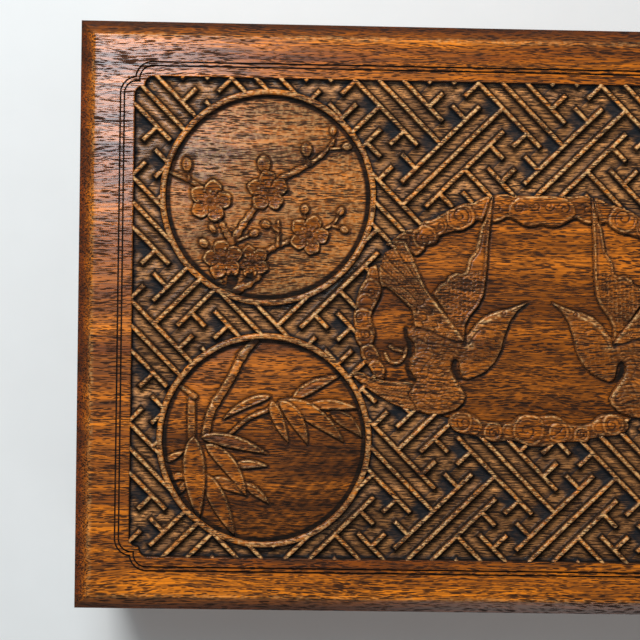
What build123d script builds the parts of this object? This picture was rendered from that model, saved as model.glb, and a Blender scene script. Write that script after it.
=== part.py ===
from build123d import *
import os
from math import cos, radians, sin, tan

# A carved wooden keepsake box with a hinged, overhanging lid.
# Sizes are in millimetres. X runs along the front, -Y is the front and Z is up.
# The origin is on the table, below the middle of the box.

# Lid panel: one thick board with a bevelled edge, wider than the box below it.
lid_length = 297.0
lid_depth = 189.0
lid_thickness = 12.0
lid_overhang = 3.0
bevel_width = 4.5
bevel_drop = 3.5
bevel_softening = 0.8
under_chamfer = 0.6
tongue_height = 2.0
tongue_clearance = 0.2

# Carving on the lid panel: a double incised line, then a sunk field with stepped round
# corners. In it stand four round pictures with raised rims, an oval one in the middle,
# and the diagonal key fret of narrow bars that fills the ground between them.
groove_margin = 13.5
groove_spacing = 1.25
groove_width = 0.55
groove_depth = 0.55
groove_lobe = 4.8
field_margin = 17.0
field_depth = 2.2
field_lobe = 3.2
ring_radius = 33.7
ring_width = 1.4
ring_drop = 0.25
ring_from_end = 60.4
ring_from_edge = 55.4
round_floor_drop = 1.4
round_floor_fall = 0.6
oval_half_length = 55.5
oval_half_depth = 36.0
oval_drop = 1.7
oval_surround = 3.0
key_step = 5.583
key_bar = 1.2
key_drop = 0.55
key_from_middle_x = -29.2
key_from_middle_y = 53.2

# Walls of the box and of the lid, finger-jointed at the corners.
wall_thickness = 10.0
wall_height = 70.0
wall_finger_count = 7
rim_height = 20.0
rim_finger_count = 3
corner_round = 1.5

# Bottom panel in its groove, and the lining that stands proud to locate the lid.
bottom_thickness = 6.0
bottom_rise = 4.0
bottom_groove_depth = 4.0
bottom_clearance = 0.2
lining_thickness = 3.0
lining_proud = 4.0
lining_lead = 1.0
lip_clearance = 0.3

# Plinth moulding under the walls, and the four feet.
plinth_proud = 2.2
plinth_lap = 6.0
plinth_ledge = 6.0
plinth_inside = 3.0
plinth_nose = 1.6
plinth_bead = 0.6
foot_size = 24.0
foot_height = 6.0
foot_setback = 1.2
foot_chamfer = 1.0

# Two five-knuckle butt hinges. The axis lies inside the back face, and the
# back edges of wall and lid are bevelled so that they meet and stop the lid.
hinge_length = 36.0
hinge_from_end = 65.0
hinge_inset = 3.5
hinge_knuckles = 5
knuckle_gap = 0.2
barrel_radius = 2.0
barrel_clearance = 0.3
leaf_thickness = 1.0
leaf_width = 5.5
leaf_gap = 0.05
leaf_clearance = 0.1
notch_clearance = 0.15
pin_radius = 0.9
pin_clearance = 0.05
pin_head_radius = 1.5
pin_head_length = 0.8
open_angle = 99.0
stop_slack = 0.5
screws_per_leaf = 3
screw_pitch = 12.0
screw_line = 3.6
screw_head_radius = 1.3
screw_head_depth = 0.65
screw_radius = 0.65
screw_length = 6.5
screw_slot = 0.35

# Swing hook on the front, and the post on the lid that it catches.
hook_reach = 22.0
hook_thickness = 1.0
hook_play = 0.1
hook_eye_radius = 3.4
hook_arm_width = 3.4
hook_tab = 4.0
plate_thickness = 0.8
plate_width = 9.0
latch_plate_height = 17.0
catch_plate_height = 13.0
rivet_radius = 1.5
rivet_clearance = 0.05
post_radius = 1.25
post_clearance = 0.15
stud_head_radius = 2.2
stud_head_thickness = 0.6
stud_depth = 6.0
tack_radius = 0.7
tack_depth = 5.0
tack_from_end = 2.6

# Heights and half sizes that follow from the sizes above.
wall_foot = foot_height + plinth_ledge
wall_top = wall_foot + wall_height
rim_top = wall_top + rim_height
lid_top = rim_top + lid_thickness
half_x = lid_length / 2 - lid_overhang
half_y = lid_depth / 2 - lid_overhang
rim_thickness = wall_thickness - lip_clearance
bottom_z = wall_foot + bottom_rise
lining_foot = bottom_z + bottom_thickness
lining_top = wall_top + lining_proud
axis_y = half_y - hinge_inset
catch_z = wall_top + rim_height / 2
pivot_z = catch_z - hook_reach

parts = {}


def block(x, y, z):
    """A box given by its ranges along X, Y and Z."""
    place = Pos((x[0] + x[1]) / 2, (y[0] + y[1]) / 2, (z[0] + z[1]) / 2)
    return place * Box(x[1] - x[0], y[1] - y[0], z[1] - z[0])


def along_x(radius, x, y, z):
    """A round bar along X, from x[0] to x[1]."""
    return Pos((x[0] + x[1]) / 2, y, z) * Rot(0, 90, 0) * Cylinder(radius, x[1] - x[0])


def from_front(sketch, height, depth, thickness):
    """A plate parallel to the front face, starting depth outside it."""
    face = Plane.XZ.offset(half_y + depth) * Pos(0, height) * sketch
    return extrude(face, amount=thickness)


def lobed_rectangle(size_x, size_y, lobe, grow=0.0):
    """A rectangle by half sizes whose corners step in with two round lobes."""
    shape = Rectangle(2 * (size_x - 2 * lobe), 2 * (size_y + grow))
    shape += Rectangle(2 * (size_x + grow), 2 * (size_y - 2 * lobe))
    shape += Rectangle(2 * (size_x - 1.5 * lobe), 2 * (size_y - 1.5 * lobe))
    for sign_x in (-1, 1):
        for sign_y in (-1, 1):
            long_side = Pos(sign_x * (size_x - 2 * lobe), sign_y * (size_y - lobe))
            short_side = Pos(sign_x * (size_x - lobe), sign_y * (size_y - 2 * lobe))
            shape += long_side * Circle(lobe + grow)
            shape += short_side * Circle(lobe + grow)
    return shape


def finger_jointed(bottom, top, thickness, fingers):
    """Four boards round the box: long ones keep the even fingers, short ones the odd."""
    pitch = (top - bottom) / fingers
    outline = Pos(0, 0, bottom) * extrude(
        RectangleRounded(2 * half_x, 2 * half_y, corner_round), amount=top - bottom)
    long_fingers = []
    short_fingers = []
    for i in range(fingers):
        z = (bottom + i * pitch, bottom + (i + 1) * pitch)
        for x in ((-half_x, -half_x + thickness), (half_x - thickness, half_x)):
            for y in ((-half_y, -half_y + thickness), (half_y - thickness, half_y)):
                (short_fingers if i % 2 else long_fingers).append(block(x, y, z))
    z = (bottom, top)
    boards = {
        "front": block((-half_x, half_x), (-half_y, -half_y + thickness), z),
        "back": block((-half_x, half_x), (half_y - thickness, half_y), z),
        "left": block((-half_x, -half_x + thickness), (-half_y, half_y), z),
        "right": block((half_x - thickness, half_x), (-half_y, half_y), z),
    }
    for side in boards:
        other = short_fingers if side in ("front", "back") else long_fingers
        boards[side] = (boards[side] - other) & outline
    return boards


def mitred(profile, outer, inner, bottom, top):
    """Four strips of one section, mitred at the corners.

    The profile is (distance outside the wall, height). Outer and inner are how
    far the strip reaches outside and inside the wall's outer face."""
    strips = {}
    for side, turn, run, reach in (("front", 0, half_x, half_y), ("right", 90, half_y, half_x),
                                   ("back", 180, half_x, half_y), ("left", 270, half_y, half_x)):
        section = Plane.YZ * Polygon(*[(-reach - d, z) for d, z in profile], align=None)
        bar = extrude(section, amount=run + outer, both=True)
        plan = Polygon((-run - outer, -reach - outer), (run + outer, -reach - outer),
                       (run - inner, -reach + inner), (-run + inner, -reach + inner), align=None)
        wedge = Pos(0, 0, bottom) * extrude(plan, amount=top - bottom)
        strips[side] = Rot(0, 0, turn) * (bar & wedge)
    return strips


# Feet: a square block under each corner of the plinth.
foot_x = half_x + plinth_proud - foot_setback
foot_y = half_y + plinth_proud - foot_setback
for name, sign_x, sign_y in (("foot_front_left", -1, -1), ("foot_front_right", 1, -1),
                             ("foot_back_left", -1, 1), ("foot_back_right", 1, 1)):
    foot = Pos(sign_x * (foot_x - foot_size / 2), sign_y * (foot_y - foot_size / 2),
               foot_height / 2) * Box(foot_size, foot_size, foot_height)
    parts[name] = chamfer(foot.edges().group_by(Axis.Z)[0], foot_chamfer)

# Plinth: a rebated moulding round the box. The walls stand on its ledge.
plinth_top = wall_foot + plinth_lap
plinth_profile = [
    (-wall_thickness - plinth_inside, foot_height),
    (plinth_proud, foot_height),
    (plinth_proud, plinth_top - plinth_nose - plinth_bead),
    (plinth_proud * 0.92, plinth_top - plinth_nose * 0.62 - plinth_bead),
    (plinth_proud * 0.70, plinth_top - plinth_nose * 0.29 - plinth_bead),
    (plinth_proud * 0.38, plinth_top - plinth_nose * 0.08 - plinth_bead),
    (plinth_proud * 0.25, plinth_top - plinth_bead),
    (plinth_proud * 0.25, plinth_top),
    (0, plinth_top),
    (0, wall_foot),
    (-wall_thickness - plinth_inside, wall_foot),
]
plinth = mitred(plinth_profile, plinth_proud, wall_thickness + plinth_inside,
                foot_height, plinth_top)
for side in plinth:
    parts["plinth_" + side] = plinth[side]

# Walls and lid rim. Their back edges are bevelled away from the hinge axis.
walls = finger_jointed(wall_foot, wall_top, wall_thickness, wall_finger_count)
rims = finger_jointed(wall_top, rim_top, rim_thickness, rim_finger_count)
stop_reach = 2 * hinge_inset
stop_drop = stop_reach * tan(radians((open_angle + stop_slack) / 2))
stop_profile = Polygon((0, 0), (stop_reach, 0), (stop_reach, -stop_drop), align=None)
stop_below = extrude(Plane.YZ * Pos(axis_y, wall_top) * stop_profile, amount=lid_length, both=True)
stop_above = mirror(stop_below, about=Plane.XY.offset(wall_top))

# Bottom panel, let into a groove on the inside of all four walls.
panel_x = half_x - wall_thickness + bottom_groove_depth
panel_y = half_y - wall_thickness + bottom_groove_depth
slack = bottom_clearance
parts["bottom_panel"] = block((slack - panel_x, panel_x - slack), (slack - panel_y, panel_y - slack),
                              (bottom_z, bottom_z + bottom_thickness))
bottom_groove = block((-panel_x, panel_x), (-panel_y, panel_y),
                      (bottom_z, bottom_z + bottom_thickness + slack))

# Lining: thin mitred strips on the bottom panel, proud of the wall's top edge.
lining_profile = [
    (-wall_thickness, lining_foot),
    (-wall_thickness, lining_top - lining_lead),
    (-wall_thickness - lining_lead, lining_top),
    (-wall_thickness - lining_thickness, lining_top),
    (-wall_thickness - lining_thickness, lining_foot),
]
lining = mitred(lining_profile, -wall_thickness, wall_thickness + lining_thickness,
                lining_foot, lining_top)
for side in lining:
    parts["lining_" + side] = lining[side]


def knuckles(odd):
    """Where one leaf has its knuckles along the hinge, from its middle."""
    pitch = hinge_length / hinge_knuckles
    return [(-hinge_length / 2 + i * pitch, -hinge_length / 2 + (i + 1) * pitch)
            for i in range(hinge_knuckles) if i % 2 == odd]


def hinge_leaf(x, low, high, odd):
    """One leaf with its knuckles, the notches for the other's, and the bore."""
    leaf = block((x - hinge_length / 2, x + hinge_length / 2), (axis_y - leaf_width, axis_y), (low, high))
    for start, end in knuckles(1 - odd):
        leaf -= along_x(barrel_radius + notch_clearance, (x + start, x + end), axis_y, wall_top)
    for start, end in knuckles(odd):
        ends = (x + start + knuckle_gap / 2, x + end - knuckle_gap / 2)
        leaf += along_x(barrel_radius, ends, axis_y, wall_top)
    bore = (x - hinge_length, x + hinge_length)
    return leaf - along_x(pin_radius + pin_clearance, bore, axis_y, wall_top)


# Hinges: leaves let into the wall and the rim, and a headed pin through both.
leaf_z = (wall_top - leaf_gap - leaf_thickness, wall_top - leaf_gap)
pocket_low = []
body_screws = []
screw_slots = []
hinge_x = lid_length / 2 - hinge_from_end
for side, x in (("left", -hinge_x), ("right", hinge_x)):
    parts["hinge_body_leaf_" + side] = hinge_leaf(x, leaf_z[0], leaf_z[1], 0)
    parts["hinge_lid_leaf_" + side] = hinge_leaf(
        x, 2 * wall_top - leaf_z[1], 2 * wall_top - leaf_z[0], 1)
    end = hinge_length / 2 + pin_head_length
    pin = along_x(pin_radius, (x - end, x + end), axis_y, wall_top)
    for start, stop in ((x - end, x - hinge_length / 2), (x + hinge_length / 2, x + end)):
        pin += along_x(pin_head_radius, (start, stop), axis_y, wall_top)
    parts["hinge_pin_" + side] = pin
    reach = hinge_length / 2 + leaf_clearance
    pocket_low.append(block((x - reach, x + reach),
                            (axis_y - leaf_width - leaf_clearance, axis_y), (leaf_z[0], wall_top)))
    clear = end + barrel_clearance
    pocket_low.append(along_x(barrel_radius + barrel_clearance, (x - clear, x + clear), axis_y, wall_top))
    for i in range(screws_per_leaf):
        place = Pos(x + (i - (screws_per_leaf - 1) / 2) * screw_pitch, axis_y - screw_line, leaf_z[1])
        head = Pos(0, 0, -screw_head_depth / 2) * Cone(screw_radius, screw_head_radius, screw_head_depth)
        shank = Pos(0, 0, -screw_length / 2) * Cylinder(screw_radius, screw_length)
        body_screws.append(place * (head + shank))
        screw_slots.append(place * Box(3 * screw_head_radius, screw_slot, screw_slot))

parting = Plane.XY.offset(wall_top)
lid_screws = [mirror(screw, about=parting) for screw in body_screws]
lid_slots = [mirror(slot, about=parting) for slot in screw_slots]
pocket_high = [mirror(cut, about=parting) for cut in pocket_low]
for side in ("left", "right"):
    parts["hinge_body_leaf_" + side] -= body_screws
    parts["hinge_lid_leaf_" + side] -= lid_screws
parts["hinge_screws_body"] = [screw - screw_slots for screw in body_screws]
parts["hinge_screws_lid"] = [screw - lid_slots for screw in lid_screws]


def stud(radius, height):
    """A brass stud through a plate into the wood, with a head that keeps the hook on."""
    neck = plate_thickness + hook_thickness + 2 * hook_play
    shank = from_front(Circle(radius), height, -stud_depth, stud_depth + neck)
    return shank + from_front(Circle(stud_head_radius), height, neck, stud_head_thickness)


def tacks(height, plate_height):
    """Two flush tacks that hold a plate."""
    offset = plate_height / 2 - tack_from_end
    return [from_front(Circle(tack_radius), height + step, -tack_depth, tack_depth + plate_thickness)
            for step in (-offset, offset)]


def front_plate(height, plate_height, holes):
    """A thin plate with round ends, flat on the front face."""
    plate = from_front(Rot(0, 0, 90) * SlotOverall(plate_height, plate_width), height, 0, plate_thickness)
    return plate - holes


# Latch: plate, rivet and swing hook on the box, plate and post on the lid.
parts["latch_rivet"] = stud(rivet_radius, pivot_z)
parts["catch_post"] = stud(post_radius, catch_z)
latch_tacks = tacks(pivot_z, latch_plate_height)
catch_tacks = tacks(catch_z, catch_plate_height)
parts["latch_plate"] = front_plate(pivot_z, latch_plate_height, latch_tacks + [parts["latch_rivet"]])
parts["catch_plate"] = front_plate(catch_z, catch_plate_height, catch_tacks + [parts["catch_post"]])
parts["latch_plate_tacks"] = latch_tacks
parts["catch_plate_tacks"] = catch_tacks

# The hook hangs from the rivet. Its notch is an arc about the rivet, so that it
# swings past the post without touching it, and it opens the way the hook swings.
notch = post_radius + post_clearance
sweep = radians(30)
far = 2 * hook_reach
sector = Polygon((0, 0), (0, -far), (far * sin(sweep), -far * cos(sweep)), align=None)
notch_path = (Circle(hook_reach + notch) - Circle(hook_reach - notch)) & sector
hook = Circle(hook_eye_radius) + Pos(0, -hook_reach / 2) * Rectangle(hook_arm_width, hook_reach)
hook += Pos(0, -hook_reach) * Circle(hook_eye_radius)
hook += Pos(0, -hook_reach - hook_tab / 2) * Rectangle(hook_arm_width / 2, hook_tab)
hook += Pos(0, -hook_reach - hook_tab) * Circle(hook_arm_width / 2)
hook -= notch_path
hook -= Pos(0, -hook_reach) * Circle(notch)
hook -= Circle(rivet_radius + rivet_clearance)
parts["latch_hook"] = from_front(hook, pivot_z, plate_thickness + hook_play, hook_thickness)

# Every board loses the wood that its hardware takes up.
front_studs = [parts["latch_rivet"], parts["catch_post"]] + latch_tacks + catch_tacks
for side in walls:
    board = walls[side] - bottom_groove - stop_below
    if side == "back":
        board -= pocket_low + body_screws
    if side == "front":
        board -= front_studs
    parts["wall_" + side] = board
for side in rims:
    board = rims[side] - stop_above
    if side == "back":
        board -= pocket_high + lid_screws
    if side == "front":
        board -= front_studs
    parts["lid_rim_" + side] = board

# Lid panel: the flat board, its bevel above, and the tongue that sits in the rim.
bevel_z = lid_top - bevel_drop
board = block((-lid_length / 2, lid_length / 2), (-lid_depth / 2, lid_depth / 2), (rim_top, bevel_z))
bevel_low = Pos(0, 0, bevel_z) * Rectangle(lid_length, lid_depth)
bevel_high = Pos(0, 0, lid_top) * Rectangle(lid_length - 2 * bevel_width, lid_depth - 2 * bevel_width)
board += loft([bevel_low.face(), bevel_high.face()], ruled=True)
board = fillet(board.edges().group_by(Axis.Z)[-1], bevel_softening)
board = chamfer(board.edges().group_by(Axis.Z)[0], under_chamfer)
tongue_x = half_x - rim_thickness - tongue_clearance
tongue_y = half_y - rim_thickness - tongue_clearance
board += block((-tongue_x, tongue_x), (-tongue_y, tongue_y), (rim_top - tongue_height, rim_top))

# The sunk field and the two incised lines round it.
field = lobed_rectangle(lid_length / 2 - field_margin, lid_depth / 2 - field_margin, field_lobe)
field_z = lid_top - field_depth
board -= Pos(0, 0, field_z) * extrude(field, amount=2 * field_depth)
for step in (-groove_spacing / 2, groove_spacing / 2):
    line_x = lid_length / 2 - groove_margin
    line_y = lid_depth / 2 - groove_margin
    line = lobed_rectangle(line_x, line_y, groove_lobe, step + groove_width / 2)
    line -= lobed_rectangle(line_x, line_y, groove_lobe, step - groove_width / 2)
    board -= Pos(0, 0, lid_top - groove_depth) * extrude(line, amount=2 * groove_depth)

# The four rings, each round a slightly domed floor, and the floor of the oval picture.
ring_outer = ring_radius + ring_width / 2
ring_inner = ring_radius - ring_width / 2
ring = Circle(ring_outer) - Circle(ring_inner)
ring_x = lid_length / 2 - ring_from_end
ring_y = lid_depth / 2 - ring_from_edge
dome_radius = (ring_inner ** 2 + round_floor_fall ** 2) / (2 * round_floor_fall)
dome = Pos(0, 0, lid_top - round_floor_drop - dome_radius) * Sphere(dome_radius)
dome &= Pos(0, 0, field_z) * extrude(Circle(ring_radius), amount=field_depth)
clear = field
for x in (-ring_x, ring_x):
    for y in (-ring_y, ring_y):
        board += Pos(x, y, field_z) * extrude(ring, amount=field_depth - ring_drop)
        board += Pos(x, y, 0) * dome
        clear -= Pos(x, y) * Circle(ring_radius)
oval = Ellipse(oval_half_length, oval_half_depth)
board += Pos(0, 0, field_z) * extrude(oval, amount=field_depth - oval_drop)
clear -= Ellipse(oval_half_length + oval_surround, oval_half_depth + oval_surround)

# The key fret. A block has three long bars side by side and four stubs on the outer two.
# Blocks lie in rows on the diagonal, every other one turned a quarter, and where they
# reach the field's edge, a ring or the oval they are cut off.
key_lines = [(-4, 0, 4, 0), (-3, 1, 3, 1), (-3, -1, 3, -1)]
key_lines += [(-2, 1, -2, 2), (2, 1, 2, 2), (-2, -2, -2, -1), (2, -2, 2, -1)]
key_block = Sketch()
for a0, b0, a1, b1 in key_lines:
    bar = Rectangle((a1 - a0) * key_step + key_bar, (b1 - b0) * key_step + key_bar)
    key_block += Pos((a0 + a1) / 2 * key_step, (b0 + b1) / 2 * key_step) * bar
key_pitch = 5 * key_step * cos(radians(45))
key_rows = int((lid_length + lid_depth) / key_pitch / 2) + 2
blocks = []
for i in range(-key_rows, key_rows + 1):
    for j in range(-key_rows, key_rows + 1):
        x = key_from_middle_x + (i + j) * key_pitch
        y = key_from_middle_y + (i - j) * key_pitch
        if abs(x) < lid_length / 2 and abs(y) < lid_depth / 2:
            cut = (Pos(x, y) * Rot(0, 0, 45 if (i + j) % 2 == 0 else -45) * key_block) & clear
            if cut:
                blocks += cut.faces()
fret = Pos(0, 0, field_z) * extrude(Sketch() + blocks, amount=field_depth - key_drop)
board += fret
parts["lid_panel"] = board

for name, piece in parts.items():
    solids = []
    for item in (piece if isinstance(piece, list) else [piece]):
        solids += item.solids()
    shape = solids[0] if len(solids) == 1 else Compound(children=solids)
    export_step(shape, os.path.join("parts", name + ".step"))
    print(name, len(solids), "solids", round(sum(s.volume for s in solids), 1), "mm3")
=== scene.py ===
"""A carved wooden box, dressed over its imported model. Metres, in the model's own frame.

The wood and the brass are materials on the model's own parts. The carving of the lid is
cut relief: it is built piece by piece, in millimetres below the top of the lid.
"""

from math import atan2, cos, hypot, pi, radians, sin

import bmesh
import bpy
import numpy as np
from mathutils import Matrix, Vector


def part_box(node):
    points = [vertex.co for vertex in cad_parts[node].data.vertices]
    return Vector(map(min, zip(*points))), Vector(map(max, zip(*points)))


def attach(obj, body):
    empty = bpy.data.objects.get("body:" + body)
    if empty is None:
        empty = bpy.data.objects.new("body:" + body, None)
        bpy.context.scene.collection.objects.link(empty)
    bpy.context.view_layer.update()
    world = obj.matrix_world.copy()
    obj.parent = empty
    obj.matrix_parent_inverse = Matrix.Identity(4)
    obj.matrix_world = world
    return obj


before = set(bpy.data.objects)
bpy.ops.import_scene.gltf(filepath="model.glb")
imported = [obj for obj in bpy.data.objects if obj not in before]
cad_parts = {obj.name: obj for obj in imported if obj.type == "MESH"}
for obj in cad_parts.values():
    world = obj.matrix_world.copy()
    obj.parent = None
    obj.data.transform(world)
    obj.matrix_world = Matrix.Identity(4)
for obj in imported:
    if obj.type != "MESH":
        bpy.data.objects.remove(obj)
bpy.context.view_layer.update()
scene = bpy.context.scene


# Feet and plinth.
# Four corner blocks under a mitred moulding, all of the same open-pored reddish wood as
# the box, stained and given a thin satin coat. The grain runs along each moulding.

def feed(node, inputs):
    """Sets or links a node's inputs by name or number."""
    for key, value in inputs.items():
        if isinstance(value, bpy.types.NodeSocket):
            node.id_data.links.new(value, node.inputs[key])
        else:
            node.inputs[key].default_value = value


def add(tree, kind, inputs=None, **settings):
    """One node, with its settings and inputs."""
    made = tree.nodes.new("ShaderNode" + kind)
    for name, value in settings.items():
        setattr(made, name, value)
    feed(made, inputs or {})
    return made


def sums(operation, *values, clamp=False):
    """One step of arithmetic, in the tree that its values come from."""
    tree = next(value.id_data for value in values if isinstance(value, bpy.types.NodeSocket))
    return add(tree, "Math", dict(enumerate(values)), operation=operation, use_clamp=clamp).outputs[0]


def between(value, low, high, to_low=0.0, to_high=1.0):
    """A value drawn out from one range to another, and held inside it."""
    ranges = {0: value, 1: low, 2: high, 3: to_low, 4: to_high}
    return add(value.id_data, "MapRange", ranges).outputs[0]


def tint(share, first, second):
    """The first colour with a share of the second mixed in."""
    return add(share.id_data, "Mix", {0: share, 6: first, 7: second}, data_type="RGBA").outputs[2]


def vector(operation, *places):
    """One step of arithmetic on places or colours, the first of them a socket."""
    return add(places[0].id_data, "VectorMath", dict(enumerate(places)), operation=operation).outputs[0]


def split(place):
    """The three axes of a place."""
    return add(place.id_data, "SeparateXYZ", {0: place}).outputs


def clouds_of(place, scale, detail=2.0, output=0):
    """Soft noise, 0 to 1, drawn out along the grain by its scale per millimetre."""
    noise = {"Vector": vector("MULTIPLY", place, scale), "Scale": 1.0, "Detail": detail}
    return add(place.id_data, "TexNoise", noise).outputs[output]


def new_group(name, inputs, outputs):
    """An empty group of nodes with its sockets, and where values come in and go out."""
    made = bpy.data.node_groups.new(name, "ShaderNodeTree")
    for way, sockets in (("INPUT", inputs), ("OUTPUT", outputs)):
        for label, kind in sockets.items():
            made.interface.new_socket(label, in_out=way, socket_type="NodeSocket" + kind)
    return made, made.nodes.new("NodeGroupInput").outputs, made.nodes.new("NodeGroupOutput")


# Open-pored wood: broad bands of colour, fine fibres and short dark pores along X.
tree, inlet, outlet = new_group(
    "open grain",
    {"Place": "Vector", "Deep": "Color", "Warm": "Color", "Hollow": "Float", "Bluish_black": "Float",
     "Crest": "Float"},
    {"Color": "Color", "Roughness": "Float", "Coat": "Float", "Height": "Float"})
open_grain = tree
place = inlet["Place"]
drift = clouds_of(place, (0.014, 0.045, 0.045), output=1)
drift = vector("SUBTRACT", drift, (0.5, 0.5, 0.5))
bent = vector("MULTIPLY_ADD", drift, (0, 9, 9), place)
bands = between(clouds_of(bent, (0.006, 0.13, 0.13), 3.0), 0.36, 0.64)
fibres = between(clouds_of(bent, (0.06, 1.9, 1.9), 3.0), 0.37, 0.63)
crowded = sums("MULTIPLY_ADD", clouds_of(bent, (0.02, 0.2, 0.2)), 0.38, -0.165)
pores = 0.0
for scale, size in (((0.17, 1.6, 1.6), 0.33), ((0.3, 2.8, 2.8), 0.34)):
    cells = add(tree, "TexVoronoi", {"Vector": vector("MULTIPLY", bent, scale), "Scale": 1.0})
    away = sums("SUBTRACT", cells.outputs["Distance"], crowded)
    pores = sums("MAXIMUM", pores, between(away, size + 0.03, size - 0.06, 0.0, 0.95))
streaks = between(clouds_of(bent, (0.018, 1.2, 1.2)), 0.56, 0.68, 0.0, 0.45)
color = tint(bands, inlet["Deep"], inlet["Warm"])
color = tint(between(fibres, 0.0, 1.0, 0.78, 0.0), color, (0.05, 0.017, 0.005, 1))
color = tint(streaks, color, (0.04, 0.014, 0.004, 1))
# The Crest input lightens in pale dashes: wear on arrises and painted highlights on the carving.
dashes = between(clouds_of(place, (0.8, 0.8, 0.8)), 0.42, 0.58, 0.18, 1.0)
color = tint(sums("MULTIPLY", inlet["Crest"], dashes), color, (0.82, 0.46, 0.18, 1))
color = tint(sums("MULTIPLY", pores, 0.95), color, (0.013, 0.006, 0.004, 1))
# The Hollow input darkens for stain, dirt and painted shade; the Soot input paints a bluish black in the
# deepest pits and at the foot of the pictures.
stain_and_shade = between(clouds_of(place, (0.35, 0.35, 0.35), 3.0), 0.3, 0.6, 0.86, 1.0)
bluish_black = sums("MULTIPLY", inlet["Bluish_black"], stain_and_shade, clamp=True)
stain_and_shade = sums("MULTIPLY", inlet["Hollow"], stain_and_shade, clamp=True)
color = tint(stain_and_shade, color, (0.01, 0.006, 0.004, 1))
color = tint(bluish_black, color, (0.011, 0.0125, 0.015, 1))
stain_and_shade = sums("MAXIMUM", stain_and_shade, bluish_black)
gloss = sums("MULTIPLY_ADD", pores, 0.3, 0.36)
gloss = sums("MULTIPLY_ADD", stain_and_shade, 0.34, gloss)
coat = between(sums("MAXIMUM", pores, stain_and_shade), 0.0, 0.8, 0.6, 0.0)
rise = sums("MULTIPLY_ADD", pores, -0.07, sums("MULTIPLY", fibres, 0.012))
feed(outlet, {"Color": color, "Roughness": gloss, "Coat": coat, "Height": rise})

# Arrises lightened, as wear and a painted highlight: 1 along the edges of a block of given
# half sizes, broken up in patches.
tree, inlet, outlet = new_group(
    "edge wear and highlight",
    {"Place": "Vector", "Half X": "Float", "Half Y": "Float", "Low": "Float", "High": "Float"},
    {"Wear and highlight": "Float"})
lit_worn_edges = tree
axes = split(inlet["Place"])
off_x, off_y = sums("ABSOLUTE", axes[0]), sums("ABSOLUTE", axes[1])
gaps = []
for place, label in ((off_x, "Half X"), (off_y, "Half Y"), (axes[2], "Low"), (axes[2], "High")):
    gaps.append(sums("ABSOLUTE", sums("SUBTRACT", place, inlet[label])))
upright = sums("MINIMUM", gaps[2], gaps[3])
nearest = sums("MINIMUM", gaps[0], gaps[1])
farther = sums("MAXIMUM", gaps[0], gaps[1])
second = sums("MAXIMUM", nearest, sums("MINIMUM", farther, upright))
patchy = clouds_of(inlet["Place"], (0.12, 0.12, 0.12), 4.0)
wear_and_highlight = between(second, 1.2, 0.24)
wear_and_highlight = sums("MULTIPLY", wear_and_highlight, between(patchy, 0.32, 0.62, 0.25, 1.0))
feed(outlet, {"Wear and highlight": wear_and_highlight})


def fresh(name):
    """A new material with its nodes, its shader, and the place on the piece in millimetres."""
    made = bpy.data.materials.new(name)
    made.use_nodes = True
    tree = made.node_tree
    spot = add(tree, "TexCoord").outputs["Object"]
    spot_mm = add(tree, "Mapping", {"Vector": spot, "Scale": (1000, 1000, 1000)}).outputs[0]
    return made, tree, tree.nodes["Principled BSDF"], spot_mm


def dress(shader, group, bump_strength, others):
    """Links a group's colour, roughness and height to a shader, and sets what else it needs."""
    looks = group.outputs
    lumps = {"Strength": bump_strength, "Distance": 0.001, "Height": looks["Height"]}
    bump = add(shader.id_data, "Bump", lumps)
    feed(shader, {"Base Color": looks["Color"], "Roughness": looks["Roughness"], "Normal": bump.outputs[0]})
    feed(shader, others)


def stained(name, deep, warm, shift=(0, 0, 0), turn=0.0, edges=None, polish=1.0, wear_and_highlight=1.0):
    """Stained wood in a satin coat. The shift gives each board its own grain; the turn lays it along Y."""
    made, tree, shader, spot_mm = fresh(name)
    along = add(tree, "Mapping", {"Vector": spot_mm, "Rotation": (0, 0, turn), "Location": shift}).outputs[0]
    grain = add(tree, "Group", {"Place": along, "Deep": (*deep, 1), "Warm": (*warm, 1)}, node_tree=open_grain)
    coat = sums("MULTIPLY", grain.outputs["Coat"], polish)
    if edges:
        sizes = dict(zip(("Half X", "Half Y", "Low", "High"), edges))
        # The arrises are lightened, as wear and a painted highlight, and lose their coat.
        worn_and_lit = add(tree, "Group", {"Place": spot_mm, **sizes}, node_tree=lit_worn_edges).outputs["Wear and highlight"]
        feed(grain, {"Crest": sums("MULTIPLY", worn_and_lit, wear_and_highlight)})
        coat = sums("MULTIPLY", coat, sums("SUBTRACT", 1.0, worn_and_lit))
    dress(shader, grain, 0.7, {"Coat Weight": coat, "Coat Roughness": 0.2, "Specular IOR Level": 0.11})
    return made, grain, spot_mm


def finish(names, material):
    """Gives parts of the model their material."""
    for name in names:
        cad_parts[name].data.materials.clear()
        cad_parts[name].data.materials.append(material)


board_deep, board_warm = (0.21, 0.062, 0.012), (0.47, 0.148, 0.022)
edges = (147.7, 93.7, 6, 18)
plinth_long = stained("plinth wood, long", board_deep, board_warm, (40, 310, 25), 0, edges)[0]
plinth_short = stained("plinth wood, short", board_deep, board_warm, (-60, 170, 60), pi / 2, edges)[0]
foot_wood = stained("foot wood", (0.13, 0.045, 0.015), (0.25, 0.088, 0.026), (300, 12, 90))[0]
finish(["plinth_front", "plinth_back"], plinth_long)
finish(["plinth_left", "plinth_right"], plinth_short)
finish(["foot_front_left", "foot_front_right", "foot_back_left", "foot_back_right"], foot_wood)


# Bottom panel and walls.
# A solid bottom let into grooves in four finger-jointed boards. Long boards have their
# grain along X, short ones along Y, so the end grain of the fingers shows as dots.

def stain_sides(pieces, kind, edges, shifts):
    """Stains four boards round the box, each with its own grain."""
    for side, shift in zip(("front", "back", "left", "right"), shifts):
        turn = pi / 2 if side in ("left", "right") else 0
        finish([pieces + side], stained(kind + side, board_deep, board_warm, shift, turn, edges)[0])


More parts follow.
